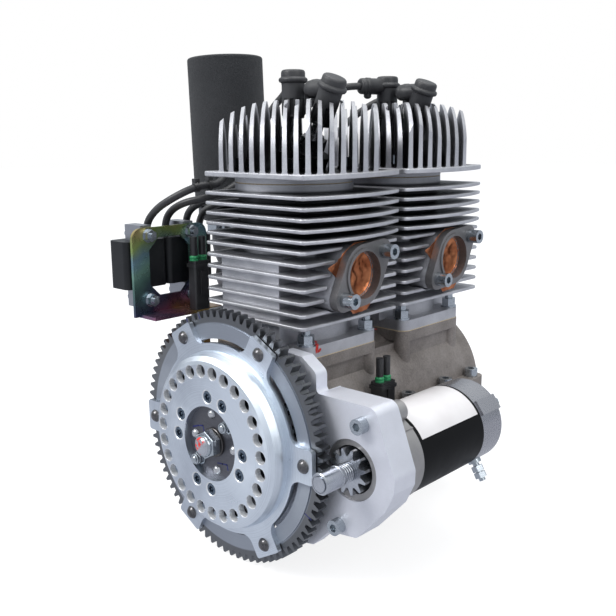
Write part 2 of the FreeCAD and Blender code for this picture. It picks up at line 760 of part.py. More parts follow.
def make_cap(end, which):
    low, top, direction = cap_points(which, bore_ys[end])
    way = cap_way[end, which]
    skirt = Part.makeCylinder(cap_radius - 1.2, cap_step, low, direction)
    collar = Part.makeCylinder(cap_radius - 0.5, 3.0, low, direction)
    body = Part.makeCylinder(cap_radius, cap_length - cap_step, low + direction * cap_step, direction)
    rim = Part.makeCylinder(cap_radius + 2.6, 3.8, top - direction * 10.9, direction)
    lid = Part.makeCylinder(cap_radius + 0.4, 7, top - direction * 7, direction)
    mouth = cap_mouth(end, which)
    elbow = Part.makeCylinder(cap_elbow_radius, cap_reach, mouth - way * cap_reach, way)
    band = Part.makeCylinder(cap_elbow_radius + 0.5, 5, mouth - way * 11, way)
    nub = Part.makeCylinder(3.8, cap_elbow_radius + 4, mouth - way * 9, -Z)
    ribs = []
    for i in range(cap_flutes):
        rib = box(cap_radius - 2, cap_radius, -1.5, 1.5, 2, cap_step + 1)
        rib.rotate(at(0, 0, 0), Z, 360 * i / cap_flutes)
        rib.Placement = FreeCAD.Placement(low, FreeCAD.Rotation(Z, direction)).multiply(rib.Placement)
        ribs.append(rib)
    shell = fuse([body, skirt, collar, rim, lid, elbow, band, nub] + ribs)
    grip = plug_insulator_top - cap_start
    core = Part.makeCylinder(5.2, grip + 1.2, low - direction, direction)
    tip = Part.makeCylinder(3.2, 6.4, low + direction * grip, direction)
    return shell.cut([core, tip])


def level_way(angle):
    a = math.radians(angle)
    return at(math.cos(a), math.sin(a), 0)


bore_ys = {"front": front_bore_y, "rear": rear_bore_y}
plug_sites = [(end, which) for end in bore_ys for which in ("a", "b")]
cap_way = {site: level_way(angle) for site, angle in zip(plug_sites, cap_angles)}
nodes["spark_plugs"] = group([make_plug(which, bore_ys[end]) for end, which in plug_sites])
nodes["plug_caps"] = group([make_cap(end, which) for end, which in plug_sites])


# Exhaust flanges, their screws and the foil blanks that close the ports
plate_back_x = exhaust_face_x - exhaust_plate
flange = exhaust_outline(plate_back_x, exhaust_face_x)
lip = rod_x(exhaust_bore_radius + 2.5, exhaust_face_x - 1, exhaust_face_x + 1.2, 0, exhaust_z)
flange = flange.fuse(lip)
flange = flange.cut([rod_x(exhaust_bore_radius, 60, 100, 0, exhaust_z)]
                    + [rod_x(4.3, 60, 100, s * exhaust_screw_dy, exhaust_z + s * exhaust_screw_dz) for s in (-1, 1)])
nodes["exhaust_flanges"] = group([moved(tidy(flange), y) for y in bores])

foil_points = [(-45, 4), (-34, 14), (-24, 24), (-10, 29), (10, 27), (30, 24), (24, -4), (14, -24),
               (-2, -35), (-16, -34), (-30, -14), (-36, -10)]
foil = Part.makePolygon([at(plate_back_x - foil_thickness, y, exhaust_z + z)
                         for y, z in foil_points + foil_points[:1]])
foil = Part.Face(foil).extrude(at(foil_thickness, 0, 0))
foil = foil.cut([rod_x(4.4, 60, 100, s * exhaust_screw_dy, exhaust_z + s * exhaust_screw_dz) for s in (-1, 1)])
nodes["exhaust_foils"] = group([moved(foil, y) for y in bores])

exhaust_screws = []
for y in bores:
    for s in (-1, 1):
        spot = at(exhaust_face_x, y + s * exhaust_screw_dy, exhaust_z + s * exhaust_screw_dz)
        exhaust_screws.append(socket_screw(spot, X, 6.5, 12, 3.95, exhaust_plate + 12))


# Ring gear and flywheel dish
def gear_outline(teeth, tip, root, tip_width, root_width, y, phase):
    points = []
    for i in range(teeth):
        middle = 360.0 * i / teeth + phase
        for radius, width, side in ((root, root_width, -1), (tip, tip_width, -1), (tip, tip_width, 1),
                                    (root, root_width, 1)):
            turn = math.degrees(width / 2 / radius) * side
            points.append(polar_y(radius, middle + turn, y))
    return Part.Face(Part.makePolygon(points + points[:1]))


gear = gear_outline(gear_teeth, gear_tip_radius, gear_root_radius, 2.2, 5.6, gear_front_y, 0)
gear = gear.extrude(at(0, gear_width, 0)).cut(rod_y(gear_step_radius - 1, -400, 0))
rim = tube_y(gear_step_radius, gear_inner_radius, ear_rear_y, gear_rear_y)
gear = gear.fuse(rim)
rivet_angles = [ear_first_angle + 60 * i for i in range(ear_count)]
rivet_spots = [polar_y(rivet_circle, a, 0) for a in rivet_angles]
gear = gear.cut([rod_y(3.6, -400, 0, p.x, p.z) for p in rivet_spots])
nodes["ring_gear"] = tidy(gear)


def make_dish():
    star = [rod_y(scallop_radius, ear_front_y, ear_rear_y)]
    for angle in rivet_angles:
        ear = box(0, ear_outer_radius, ear_front_y, ear_rear_y, -ear_width / 2, ear_width / 2)
        ear.rotate(at(0, 0, 0), Y, -angle)
        star.append(ear)
    star = fuse(star)
    notches = [e for e in upright_edges(star, ear_thickness - 0.1)
               if math.hypot(e.BoundBox.Center.x, e.BoundBox.Center.z) < ear_outer_radius - 8]
    star = star.makeFillet(11, notches)
    corners = [e for e in upright_edges(star, ear_thickness - 0.1)
               if math.hypot(e.BoundBox.Center.x, e.BoundBox.Center.z) > ear_outer_radius - 2]
    star = star.makeFillet(2.5, corners)
    bowl = revolve_y([(0, dish_front_y), (dish_front_radius - 3, dish_front_y),
                      (dish_front_radius, dish_front_y + 1.2), (dish_front_radius + 4, dish_front_y + 4.5),
                      (dish_base_radius - 1, ear_front_y - 4), (dish_base_radius, ear_rear_y), (0, ear_rear_y)])
    hollow = revolve_y([(0, hub_front_y), (dish_front_radius - 6, hub_front_y),
                        (dish_base_radius - 7, ear_rear_y + 1), (0, ear_rear_y + 1)])
    dish = star.fuse(bowl).cut(hollow)
    cuts = [rod_y(dish_recess_radius, -400, hub_front_y + 1)]
    for i in range(vent_count):
        p = polar_y(vent_circle, 360.0 * i / vent_count + 4, 0)
        cuts.append(rod_y(vent_radius, -400, hub_front_y + 1, p.x, p.z))
    for angle in dish_screw_angles:
        p = polar_y(dish_screw_circle, angle, 0)
        cuts.append(rod_y(3.1, -400, hub_front_y + 1, p.x, p.z))
        cuts.append(Part.makeCone(6.1, 3.1, 3.0, at(p.x, dish_front_y, p.z), Y))
    for p in rivet_spots:
        cuts.append(rod_y(3.6, -400, 0, p.x, p.z))
    return tidy(dish.cut(cuts))


nodes["flywheel_dish"] = make_dish()

rivets = []
for p in rivet_spots:
    dome = Part.makeSphere(6.6, at(p.x, ear_front_y + 2.6, p.z))
    dome = dome.cut(box(p.x - 9, p.x + 9, ear_front_y, ear_front_y + 20, p.z - 9, p.z + 9))
    shank = rod_y(3.5, ear_front_y - 1, gear_rear_y, p.x, p.z)
    rivets.append(fuse([dome, shank]))

screws = []
for angle in dish_screw_angles:
    p = polar_y(dish_screw_circle, angle, 0)
    head_cone = Part.makeCone(5.9, 3.0, 2.9, at(p.x, dish_front_y + 0.1, p.z), Y)
    shank = rod_y(3.0, dish_front_y + 1, hub_front_y + rotor_floor - 0.5, p.x, p.z)
    socket = hexagon(4.6, at(p.x, dish_front_y - 1, p.z), Y, 3.0)
    screws.append(fuse([head_cone, shank]).cut(socket))
nodes["flywheel_screws"] = group(screws)


# Magneto rotor with magnets, and the stator inside it
def make_rotor():
    floor_y = hub_front_y + rotor_floor
    cup = revolve_y([(nose_radius + 0.02, hub_front_y), (rotor_radius, hub_front_y), (rotor_radius, rotor_rear_y),
                     (rotor_radius - rotor_wall, rotor_rear_y), (rotor_radius - rotor_wall, floor_y),
                     (rotor_hub_radius, floor_y), (rotor_hub_radius, rotor_seat_y), (nose_radius + 0.02, rotor_seat_y)])
    cuts = []
    for angle in dish_screw_angles:
        p = polar_y(dish_screw_circle, angle, 0)
        cuts.append(rod_y(3.05, hub_front_y - 1, floor_y + 1, p.x, p.z))
    for angle in hub_rivet_angles:
        p = polar_y(hub_rivet_circle, angle, 0)
        cuts.append(rod_y(2.6, hub_front_y - 1, floor_y + 1, p.x, p.z))
    for angle in hub_stud_angles:
        p = polar_y(hub_stud_circle, angle, 0)
        cuts.append(rod_y(3.05, hub_front_y - 1, floor_y + 1, p.x, p.z))
    return cup.cut(cuts)


magnets = [make_rotor()]
magnet_outer = rotor_radius - rotor_wall
for i in range(6):
    ring = tube_y(magnet_outer, magnet_outer - 5, rotor_rear_y - 22, rotor_rear_y - 1)
    wedge = Part.makeCylinder(80, 60, at(0, rotor_rear_y - 50, 0), Y, 46)
    wedge.rotate(at(0, 0, 0), Y, 60 * i)
    magnets.append(ring.common(wedge))
nodes["magneto_rotor"] = group(magnets)

stator_outer = magnet_outer - 6.0
stator = [tube_y(24, 17.5, case_front_y - 22, case_front_y), tube_y(stator_outer, 17.5, case_front_y - 3, case_front_y)]
for i in range(12):
    tooth = box(23, stator_outer - 4, case_front_y - 19, case_front_y - 8, -3, 3)
    shoe = box(stator_outer - 4, stator_outer - 1, case_front_y - 20, case_front_y - 7, -6.5, 6.5)
    for piece in (tooth, shoe):
        piece.rotate(at(0, 0, 0), Y, 30 * i)
        stator.append(piece)
coils = [fuse(stator)]
for i in range(12):
    coil = box(25.5, stator_outer - 4.5, case_front_y - 22, case_front_y - 5, -5.5, 5.5)
    coil = coil.cut(box(20, stator_outer, case_front_y - 19.1, case_front_y - 7.9, -3.1, 3.1))
    coil.rotate(at(0, 0, 0), Y, 30 * i)
    coils.append(coil)
nodes["stator"] = group(coils)

hub_parts = rivets
for angle in hub_rivet_angles:
    p = polar_y(hub_rivet_circle, angle, 0)
    dome = Part.makeSphere(4.6, at(p.x, hub_front_y + 1.4, p.z))
    dome = dome.cut(box(p.x - 9, p.x + 9, hub_front_y, hub_front_y + 20, p.z - 9, p.z + 9))
    hub_parts.append(fuse([dome, rod_y(2.5, hub_front_y - 1, hub_front_y + rotor_floor, p.x, p.z)]))
nodes["flywheel_rivets"] = group(hub_parts)

nuts = []
washer = tube_y(16, 8.1, hub_front_y - 2, hub_front_y)
big = hexagon(27.0, at(0, hub_front_y - 2, 0), -Y, 11.0).cut(rod_y(8.1, -400, 0))
nuts.append(tidy(washer.fuse(big)))
for angle in hub_stud_angles:
    p = polar_y(hub_stud_circle, angle, 0)
    nut = hexagon(10.0, at(p.x, hub_front_y, p.z), -Y, 5.0)
    stud = rod_y(3.0, hub_front_y - 9, hub_front_y + rotor_floor - 0.5, p.x, p.z)
    nuts.append(fuse([nut, stud]))
nodes["hub_nuts"] = group(nuts)


# Starter bracket, a thick machined plate bolted to the front of the crankcase
def make_bracket():
    outline = [(52, 84), (74, 83), (90, 72), (90, 55.5), (150, 56), (169.5, 4), (169, -8), (161, -25),
               (133, -56), (104, -60), (86, -78), (60, -83), (40, -76), (40, 60)]
    points = [at(x, bracket_front_y, z) for x, z in outline]
    plate = Part.Face(Part.makePolygon(points + points[:1])).extrude(at(0, bracket_depth, 0))
    rounds = {(90, 72): 7, (90, 55.5): 4, (150, 56): 9, (169.5, 4): 8, (161, -25): 12, (133, -56): 5}
    for (x, z), radius in rounds.items():
        edge = [e for e in upright_edges(plate, bracket_depth - 0.1)
                if math.hypot(e.BoundBox.Center.x - x, e.BoundBox.Center.z - z) < 0.5]
        plate = plate.makeFillet(radius, edge)
    # only the part that carries the starter has the full depth
    plate = plate.cut(box(0, bracket_step_x, bracket_front_y + bracket_thickness, case_front_y + 50, -100, 100))
    hub = rod_y(60, bracket_front_y, bracket_front_y + bracket_thickness)
    plate = tidy(plate.fuse(hub))
    cuts = [rod_y(56.5, -400, -200), rod_y(starter_hole_radius, -400, -200, starter_x, 0)]
    for s in (-1, 1):
        cuts.append(rod_y(4.3, -400, -200, starter_x + s * starter_screw_dx,
                          s * starter_screw_dz - starter_screw_drop))
    for x, z in bracket_screw_spots:
        cuts.append(rod_y(3.1, -400, -200, x, z))
        cuts.append(rod_y(5.6, bracket_front_y - 1, bracket_front_y + bracket_screw_sink, x, z))
    return plate.cut(cuts)


nodes["starter_bracket"] = make_bracket()
mount_screws = [socket_screw(at(x, bracket_front_y + bracket_screw_sink, z), -Y, 5.2, 5.5, 3.0, bracket_screw_length)
                for x, z in bracket_screw_spots]

for s in (-1, 1):
    spot = at(starter_x + s * starter_screw_dx, bracket_front_y, s * starter_screw_dz - starter_screw_drop)
    mount_screws.append(socket_screw(spot, -Y, 6.5, 8, 4.2, bracket_depth + 12))

# Starter motor
nose_y = bracket_front_y + bracket_depth
register = tube_y(starter_hole_radius - 0.05, 20.0, bracket_front_y + 2.0, nose_y + 1, starter_x)
flange = rod_y(starter_radius + 0.5, nose_y, starter_front_y, starter_x)
ears = [rod_y(9.0, nose_y, starter_front_y, starter_x + s * starter_screw_dx,
              s * starter_screw_dz - starter_screw_drop) for s in (-1, 1)]
bridge = box(starter_x - 18, starter_x + 18, nose_y, starter_front_y, -45, 35)
lean = math.degrees(math.atan2(starter_screw_dx, starter_screw_dz))
bridge.rotate(at(starter_x, 0, 0), Y, lean)
nose = fuse([register, flange, bridge] + ears)
inside = rod_y(20.0, bracket_front_y, starter_front_y - 6, starter_x)
journal = rod_y(starter_shaft_radius + 2.5 + running_gap, -300, -200, starter_x)
nose_holes = [rod_y(4.2 + 0.05, nose_y - 1, nose_y + 13, starter_x + s * starter_screw_dx,
                    s * starter_screw_dz - starter_screw_drop) for s in (-1, 1)]
nodes["starter_nose"] = tidy(nose.cut([inside, journal] + nose_holes))

can = tube_y(starter_radius, starter_radius - 2.5, starter_front_y, starter_can_end_y, starter_x)
cap = rod_y(starter_radius - 0.2, starter_can_end_y, starter_cap_end_y, starter_x)
cap = cap.makeFillet(5, [e for e in cap.Edges if abs(e.BoundBox.YMin - starter_cap_end_y) < 0.01
                         and e.BoundBox.XLength > 10])
cap = cap.cut(rod_y(starter_radius - 4.5, starter_can_end_y - 1, starter_cap_end_y - 7, starter_x))
cap = cap.cut(rod_y(5.05, -200, -50, starter_x))
bolt_angles = (through_bolt_angle, through_bolt_angle + 180)
ridges = []
bolts = []
for angle in bolt_angles:
    ridge = box(starter_radius - 7, starter_radius + 1.5, starter_can_end_y + 2, starter_cap_end_y - 3, -7, 7)
    ridge.rotate(at(0, 0, 0), Y, -angle)
    ridge.translate(at(starter_x, 0, 0))
    ridges.append(ridge)
    p = polar_y(through_bolt_circle, angle, starter_cap_end_y)
    bolts.append(hexagon(8.0, at(p.x + starter_x, starter_cap_end_y, p.z), Y, 4.5))
cap = fuse([cap] + ridges).cut(rod_y(starter_radius - 4.5, starter_can_end_y - 1, starter_cap_end_y - 7, starter_x))
nodes["starter_end_cap"] = tidy(cap)

magnets = [can]
for i in range(4):
    ring = tube_y(starter_radius - 2.5, starter_radius - 8.5, starter_front_y + 12, starter_can_end_y - 18, starter_x)
    wedge = Part.makeCylinder(60, 200, at(starter_x, -300, 0), Y, 66)
    wedge.rotate(at(starter_x, 0, 0), Y, 90 * i)
    magnets.append(ring.common(wedge))
nodes["starter_can"] = group(magnets)

armature = revolve_y([(0, cup_tip_y), (starter_shaft_radius, cup_tip_y), (starter_shaft_radius, -262),
                      (starter_shaft_radius + 2.5, -262), (starter_shaft_radius + 2.5, starter_front_y + 10),
                      (armature_radius, starter_front_y + 14), (armature_radius, starter_can_end_y - 22),
                      (14, starter_can_end_y - 20), (14, starter_can_end_y - 4), (5.0, starter_can_end_y - 3),
                      (5.0, starter_cap_end_y - 3), (0, starter_cap_end_y - 3)], starter_x, 0)
slots = []
for i in range(12):
    slot = box(armature_radius - 5, armature_radius + 1, starter_front_y + 10, starter_can_end_y - 20, -1.5, 1.5)
    slot.rotate(at(0, 0, 0), Y, 30 * i)
    slot.translate(at(starter_x, 0, 0))
    slots.append(slot)
nodes["armature"] = armature.cut(slots)

cup_rear_y = pinion_rest_y - pinion_travel - spring_solid_height
cup = tube_y(cup_radius, starter_shaft_radius + 0.02, cup_tip_y + 0.6, cup_rear_y, starter_x)
nodes["stop_cup"] = cup

pinion = gear_outline(pinion_teeth, pinion_tip_radius, pinion_root_radius, 2.0, 5.2, pinion_rest_y, 15)
pinion = pinion.extrude(at(0, pinion_length, 0))
pinion.translate(at(starter_x, 0, 0))
pinion = pinion.fuse(rod_y(12, pinion_rest_y + 1, -257.7, starter_x))
pinion = pinion.cut(rod_y(starter_shaft_radius + running_gap, -400, -262.0, starter_x))
pinion = pinion.cut(rod_y(starter_shaft_radius + 2.5 + 0.3, -274.0, -250.0, starter_x))
nodes["pinion"] = tidy(pinion)

spring_pitch = (pinion_rest_y - cup_rear_y) / spring_turns
spring_radius = starter_shaft_radius + spring_wire_radius + 0.3
spring = []
for i in range(spring_turns):
    middle_y = cup_rear_y + (i + 0.5) * spring_pitch
    spring.append(Part.makeTorus(spring_radius, spring_wire_radius, at(starter_x, middle_y, 0), Y))
link = box(starter_x - 0.5, starter_x + 0.5, cup_rear_y, pinion_rest_y, spring_radius - 0.5, spring_radius + 0.5)
nodes["pinion_spring"] = fuse(spring + [link])

nodes["starter_screws"] = group(mount_screws + bolts)

# Battery terminal under the end cap
a = math.radians(terminal_angle)
out = at(math.cos(a), 0, math.sin(a))
spot = at(starter_x, terminal_y, 0) + out * (starter_radius - 0.2)
collar = Part.makeCylinder(6.0, 4.0, spot - out * 1.0, out)
stud = Part.makeCylinder(3.0, 20.0, spot, out)
nut = hexagon(10.0, spot + out * 6, out, 5)
nut2 = hexagon(10.0, spot + out * 12, out, 5)
terminal = fuse([collar, stud, nut, nut2]).cut(rod_y(starter_radius - 0.2, -200, -50, starter_x))
nodes["starter_terminal"] = terminal


# Ignition coils on their folded plate
def make_coil_plate():
    y0, y1 = coil_plate_y
    z0, z1 = coil_plate_z
    plate = box(coil_plate_x - coil_plate_thickness, coil_plate_x, y0, y1, z0, z1)
    corners = [e for e in plate.Edges if abs(e.tangentAt(e.FirstParameter).x) > 0.99
               and (e.BoundBox.ZMin > z1 - 1)]
    plate = plate.makeFillet(10, corners)
    leg_back_x = coil_leg_x + coil_plate_thickness
    foot_z = split_thickness + coil_plate_thickness
    lip = box(coil_plate_x - coil_plate_thickness, leg_back_x, y0 + 4, y1 - 4, z0, z0 + coil_plate_thickness)
    leg = box(coil_leg_x, leg_back_x, split_screw_y[0] - 20, split_screw_y[0] - 7.5, split_thickness, z0 + 1)
    foot = box(-split_half_x, leg_back_x, split_screw_y[0] - 14, split_screw_y[0] + 8, split_thickness, foot_z)
    foot = foot.cut(rod_z(4.2, 0, 40, -split_screw_x, split_screw_y[0]))
    mid_y = (coil_screw_y[0] + coil_screw_y[1]) / 2
    mid_z = (coil_screw_z[0] + coil_screw_z[1]) / 2
    wide, tall, cut = coil_window_y, coil_window_z, coil_window_cut
    ring = [(-wide, -tall + cut), (-wide + cut, -tall), (wide - cut, -tall), (wide, -tall + cut),
            (wide, tall - cut), (wide - cut, tall), (-wide + cut, tall), (-wide, tall - cut)]
    points = [at(coil_plate_x - 10, mid_y + dy, mid_z + dz) for dy, dz in ring]
    window = Part.Face(Part.makePolygon(points + points[:1])).extrude(at(20, 0, 0))
    plate = fuse([plate, lip, leg, foot])
    holes = [rod_x(3.1, coil_plate_x - 10, coil_plate_x + 10, y, z) for y in coil_screw_y for z in coil_screw_z]
    return plate.cut([window] + holes)


nodes["coil_plate"] = make_coil_plate()

nodes["ignition_coils"] = group([rounded_slab(coil_x - coil_depth / 2, coil_x + coil_depth / 2, low, high,
                                              coil_bottom_z, coil_bottom_z + coil_height, coil_corner)
                                 for low, high in coil_spans_y])

cores = []
core_x = coil_plate_x - coil_plate_thickness
coil_top_z = coil_bottom_z + coil_height
for y in coil_screw_y:
    for low_z, high_z in ((coil_screw_z[0] - 8, coil_bottom_z), (coil_top_z, coil_screw_z[1] + 9)):
        arm = box(coil_x - 5, core_x, y - core_width / 2, y + core_width / 2, low_z, high_z)
        cores.append(arm)
holes = [rod_x(3.05, coil_x - 20, core_x + 1, y, z) for y in coil_screw_y for z in coil_screw_z]
nodes["coil_cores"] = group([c.cut(holes) for c in cores])

coil_screws = []
for y in coil_screw_y:
    for z in coil_screw_z:
        shank = rod_x(3.0, coil_x - 8, coil_plate_x + 9, y, z)
        nut = hexagon(10.0, at(coil_plate_x + 1.2, y, z), X, 5.0)
        ring = rod_x(6.5, coil_plate_x, coil_plate_x + 1.2, y, z)
        button = rod_x(4.0, coil_x - 9, coil_x - 5, y, z)
        coil_screws.append(fuse([shank, nut, ring, button]))
nodes["coil_screws"] = group(coil_screws)


# Intake: manifold, carburettor body, throttle and foam filter
def make_manifold():
    parts = []
    for y in bores:
        plate = box(intake_face_x - 7, intake_face_x, y - 21, y + 21, intake_z - 28, intake_z + 28)
        plate = plate.makeFillet(9, [e for e in plate.Edges if abs(e.tangentAt(e.FirstParameter).x) > 0.99])
        parts.append(plate)
        parts.append(rod_x(branch_radius, runner_x, intake_face_x - 1, y, intake_z))
    parts.append(rod_y(runner_radius, front_bore_y - 14, rear_bore_y + 14, runner_x, intake_z))
    parts.append(rod_x(manifold_neck_radius, carb_inner_x, runner_x, carb_y, intake_z))
    solid = fuse(parts)
    inner = [rod_y(runner_radius - 3.5, front_bore_y - 10, rear_bore_y + 10, runner_x, intake_z),
             rod_x(carb_throat_radius - 1, carb_inner_x - 1, runner_x, carb_y, intake_z)]
    for y in bores:
        inner.append(rod_x(branch_radius - 3.0, runner_x, intake_face_x + 1, y, intake_z))
        for s in (-1, 1):
            inner.append(rod_x(3.0, intake_face_x - 9, intake_face_x + 1, y, intake_z + s * intake_screw_dz))
    return tidy(solid.cut(inner))


nodes["intake_manifold"] = make_manifold()
manifold_screws = [socket_screw(at(intake_face_x - 7, y, intake_z + s * intake_screw_dz), -X, 4.5, 5, 2.9, 16)
                   for y in bores for s in (-1, 1)]
nodes["port_screws"] = group(exhaust_screws + manifold_screws)

carb_outer_x = carb_inner_x - carb_length
throttle_x = carb_inner_x - 12.0
block_x = carb_outer_x + spigot_length
block = box(block_x, carb_inner_x, carb_y - carb_half_y, carb_y + carb_half_y,
            intake_z - carb_half_z, intake_z + carb_half_z)
block = block.makeFillet(3, [e for e in block.Edges if abs(e.tangentAt(e.FirstParameter).x) > 0.99])
covers = [rounded_slab(block_x, carb_inner_x, carb_y - carb_half_y + 2, carb_y + carb_half_y - 2,
                       intake_z + carb_half_z - 1, intake_z + carb_half_z + 6, 4),
          rounded_slab(block_x, carb_inner_x, carb_y - carb_half_y + 2, carb_y + carb_half_y - 2,
                       intake_z - carb_half_z - 8, intake_z - carb_half_z + 1, 4)]
spigot = rod_x(spigot_radius, carb_outer_x, carb_inner_x, carb_y, intake_z)
ear_plate = box(carb_inner_x - 6, carb_inner_x, carb_y - 32, carb_y + 32, intake_z - 13, intake_z + 13)
ear_plate = ear_plate.makeFillet(8, [e for e in ear_plate.Edges if abs(e.tangentAt(e.FirstParameter).x) > 0.99])
pivot_boss = rod_y(7, carb_y - carb_half_y - 4, carb_y + carb_half_y + 4, throttle_x, intake_z)
carb = fuse([block, spigot, ear_plate, pivot_boss] + covers)
carb = carb.cut([rod_x(carb_throat_radius, carb_outer_x - 1, carb_inner_x + 1, carb_y, intake_z),
                 rod_y(spindle_radius + running_gap, -300, 0, throttle_x, intake_z)])
nodes["carburettor"] = tidy(carb)

spindle_low = carb_y - carb_half_y - 7
spindle_high = carb_y + carb_half_y + 12
spindle = rod_y(spindle_radius, spindle_low, spindle_high, throttle_x, intake_z)
plate = Part.makeCylinder(carb_throat_radius - 0.4, 1.6, at(throttle_x - 0.8, carb_y, intake_z), X)
spindle = spindle.cut(box(throttle_x - 0.8, throttle_x + 0.8, carb_y - carb_throat_radius, carb_y + carb_throat_radius,
                          intake_z - 10, intake_z + 10))
nodes["throttle_plate"] = plate
arm = box(throttle_x - 4, throttle_x + 4, spindle_high - 4, spindle_high - 1, intake_z, intake_z + 26)
arm = arm.fuse([rod_y(7, spindle_high - 4, spindle_high - 1, throttle_x, intake_z),
                rod_y(5, spindle_high - 4, spindle_high - 1, throttle_x, intake_z + 26)])
arm = arm.cut(rod_y(2, -300, 0, throttle_x, intake_z + 26))
nodes["throttle_spindle"] = fuse([spindle, arm])

# Rubber elbow from the carburettor up to the filter neck
elbow_bend = carb_outer_x - filter_x
neck_z = intake_z + elbow_bend + 21.0


def elbow_pipe(radius, start_x, end_z):
    turn = at(carb_outer_x, carb_y, intake_z + elbow_bend)
    diagonal = elbow_bend * math.sqrt(0.5)
    arc = Part.Arc(at(carb_outer_x, carb_y, intake_z), turn + at(-diagonal, 0, -diagonal),
                   at(filter_x, carb_y, turn.z))
    path = Part.Wire([Part.LineSegment(at(start_x, carb_y, intake_z), at(carb_outer_x, carb_y, intake_z)).toShape(),
                      arc.toShape(),
                      Part.LineSegment(at(filter_x, carb_y, turn.z), at(filter_x, carb_y, end_z)).toShape()])
    section = Part.Wire([Part.makeCircle(radius, at(start_x, carb_y, intake_z), X)])
    return path.makePipeShell([section], True, False)


elbow_wall = 3.5
sleeve = spigot_radius + 0.05
outer = elbow_pipe(sleeve + elbow_wall, carb_outer_x + spigot_length - 0.3, neck_z)
outer = outer.cut(elbow_pipe(carb_throat_radius, carb_outer_x + spigot_length + 2, neck_z + 2))
nodes["filter_elbow"] = tidy(outer.cut(rod_x(sleeve, carb_outer_x, carb_outer_x + 20, carb_y, intake_z)))

# Foam filter on its base cap, leaning a little away from the cylinders
filter_lean = -2.3
collar = rod_z(filter_radius - 8, neck_z, neck_z + 4, filter_x, carb_y)
collar = collar.fuse(rod_z(filter_radius - 3, neck_z + 4, filter_bottom_z, filter_x, carb_y))
collar = collar.cut(rod_z(carb_throat_radius, neck_z - 1, filter_bottom_z + 1, filter_x, carb_y))
nodes["filter_base"] = tidy(collar)
foam = rod_z(filter_radius, 0, filter_height, 0, 0)
foam = foam.makeFillet(2.5, [e for e in foam.Edges if isinstance(e.Curve, Part.Circle)])
foam.rotate(at(0, 0, 0), Y, filter_lean)
foam.translate(at(filter_x, carb_y, filter_bottom_z + 1.9))
nodes["foam_filter"] = foam

band = sleeve + elbow_wall
clamps = []
for low, high in ((neck_z - 12, neck_z - 3),):
    ring = rod_z(band + 1.2, low, high, filter_x, carb_y).fuse(
        box(filter_x - 7, filter_x + 7, carb_y - band - 7, carb_y - band + 1, low + 1, high - 1))
    clamps.append(ring.cut(rod_z(band, low - 1, high + 1, filter_x, carb_y)))
low_x = carb_outer_x + 0.5
ring = rod_x(band + 1.2, low_x, low_x + 6.5, carb_y, intake_z).fuse(
    box(low_x + 0.5, low_x + 6, carb_y - 7, carb_y + 7, intake_z - band - 6, intake_z - band + 1))
clamps.append(ring.cut(rod_x(band, low_x - 1, low_x + 9, carb_y, intake_z)))
nodes["hose_clamps"] = group(clamps)

# High-tension leads from the coil tops past the heads to the caps
lead_routes = {
    ("front", "a"): [(-58, -178, 294), (-72, -180, 270), (-80, -190, 246), (-80, -208, 228), (-76, -222, 217),
                     (-72, -234.2, 213.4), (-72, -249, 214), (-76, -262, 210.5), (-90, -272, 202),
                     (-106, -278, 192)],
    ("front", "b"): [(-14, -171, 298), (-40, -163, 290), (-58, -164, 270), (-64, -172, 248), (-66, -196, 222),
                     (-69, -222, 207), (-77, -244, 201), (-92, -254, 198), (-109, -258, 190)],
    ("rear", "a"): [(-32, -120, 299), (-50, -130, 288), (-66, -138, 266), (-72, -150, 240), (-78, -176, 218),
                    (-84, -204, 206), (-96, -224, 198), (-112, -232, 190)],
    ("rear", "b"): [(-14, -36, 298), (-40, -44, 290), (-60, -62, 270), (-67, -90, 242), (-68, -130, 218),
                    (-70, -170, 204), (-83, -200, 196), (-106, -214, 191)],
}
routes = {}
for (site, middle), foot_y in zip(lead_routes.items(), lead_feet_y):
    mouth = cap_mouth(*site)
    name = site[0] + "_lead_" + site[1]
    routes[name] = [mouth, mouth + cap_way[site] * lead_starts[site[1]]]
    if site[1] == "b":
        # round the neighbouring cap, on its far side
        routes[name].append(at(plug_a_x + lead_clear_x, bore_ys[site[0]] + plug_a_y + lead_clear_y, mouth.z - 1))
    routes[name] += [at(*p) for p in middle]
    routes[name] += [at(coil_x, foot_y, coil_top_z + 13), at(coil_x, foot_y, coil_top_z)]
    nodes[name] = pipe(routes[name], lead_radius)

# Cable ties round the first lead, at the middle of two of its straight runs
ties = []
for i in (7, 8):
    low, high = routes["front_lead_a"][i], routes["front_lead_a"][i + 1]
    middle = (low + high) * 0.5
    way = (high - low).normalize()
    start = middle - way * 1.8
    band = Part.makeCylinder(lead_radius + 1.4, 3.6, start, way)
    band = band.cut(Part.makeCylinder(lead_radius + 0.05, 4.6, start - way * 0.5, way))
    lock = box(middle.x - 2.5, middle.x + 2.5, middle.y - 2.6, middle.y + 2.6,
               middle.z + lead_radius + 0.6, middle.z + lead_radius + 4.4)
    ties.append(fuse([band, lock]))
nodes["lead_ties"] = group(ties)


# Sealed plug connectors, one beside the coil plate and one beside the crankcase
def make_connector(x, y, bottom, width, depth, height):
    body = rounded_slab(x - width / 2, x + width / 2, y - depth / 2, y + depth / 2, bottom, bottom + height, 2)
    latch = box(x + width / 2 - 1, x + width / 2 + 1.6, y - 3, y + 3, bottom + height * 0.3, bottom + height * 0.8)
    lip = rounded_slab(x - width / 2 - 1.2, x + width / 2 + 1.2, y - depth / 2 - 1.2, y + depth / 2 + 1.2,
                       bottom + height - 6, bottom + height - 3, 2)
    return fuse([body, latch, lip])


def make_seals(x, y, low, spots):
    seals = []
    for dx, dy in spots:
        profile = [(0, low), (4.2, low), (4.2, low + 1.2), (3.6, low + 1.8), (4.2, low + 2.4), (4.2, low + 3.6),
                   (3.0, low + 5.0), (0, low + 5.0)]
        seals.append(revolve_z(profile, x + dx, y + dy))
    return seals


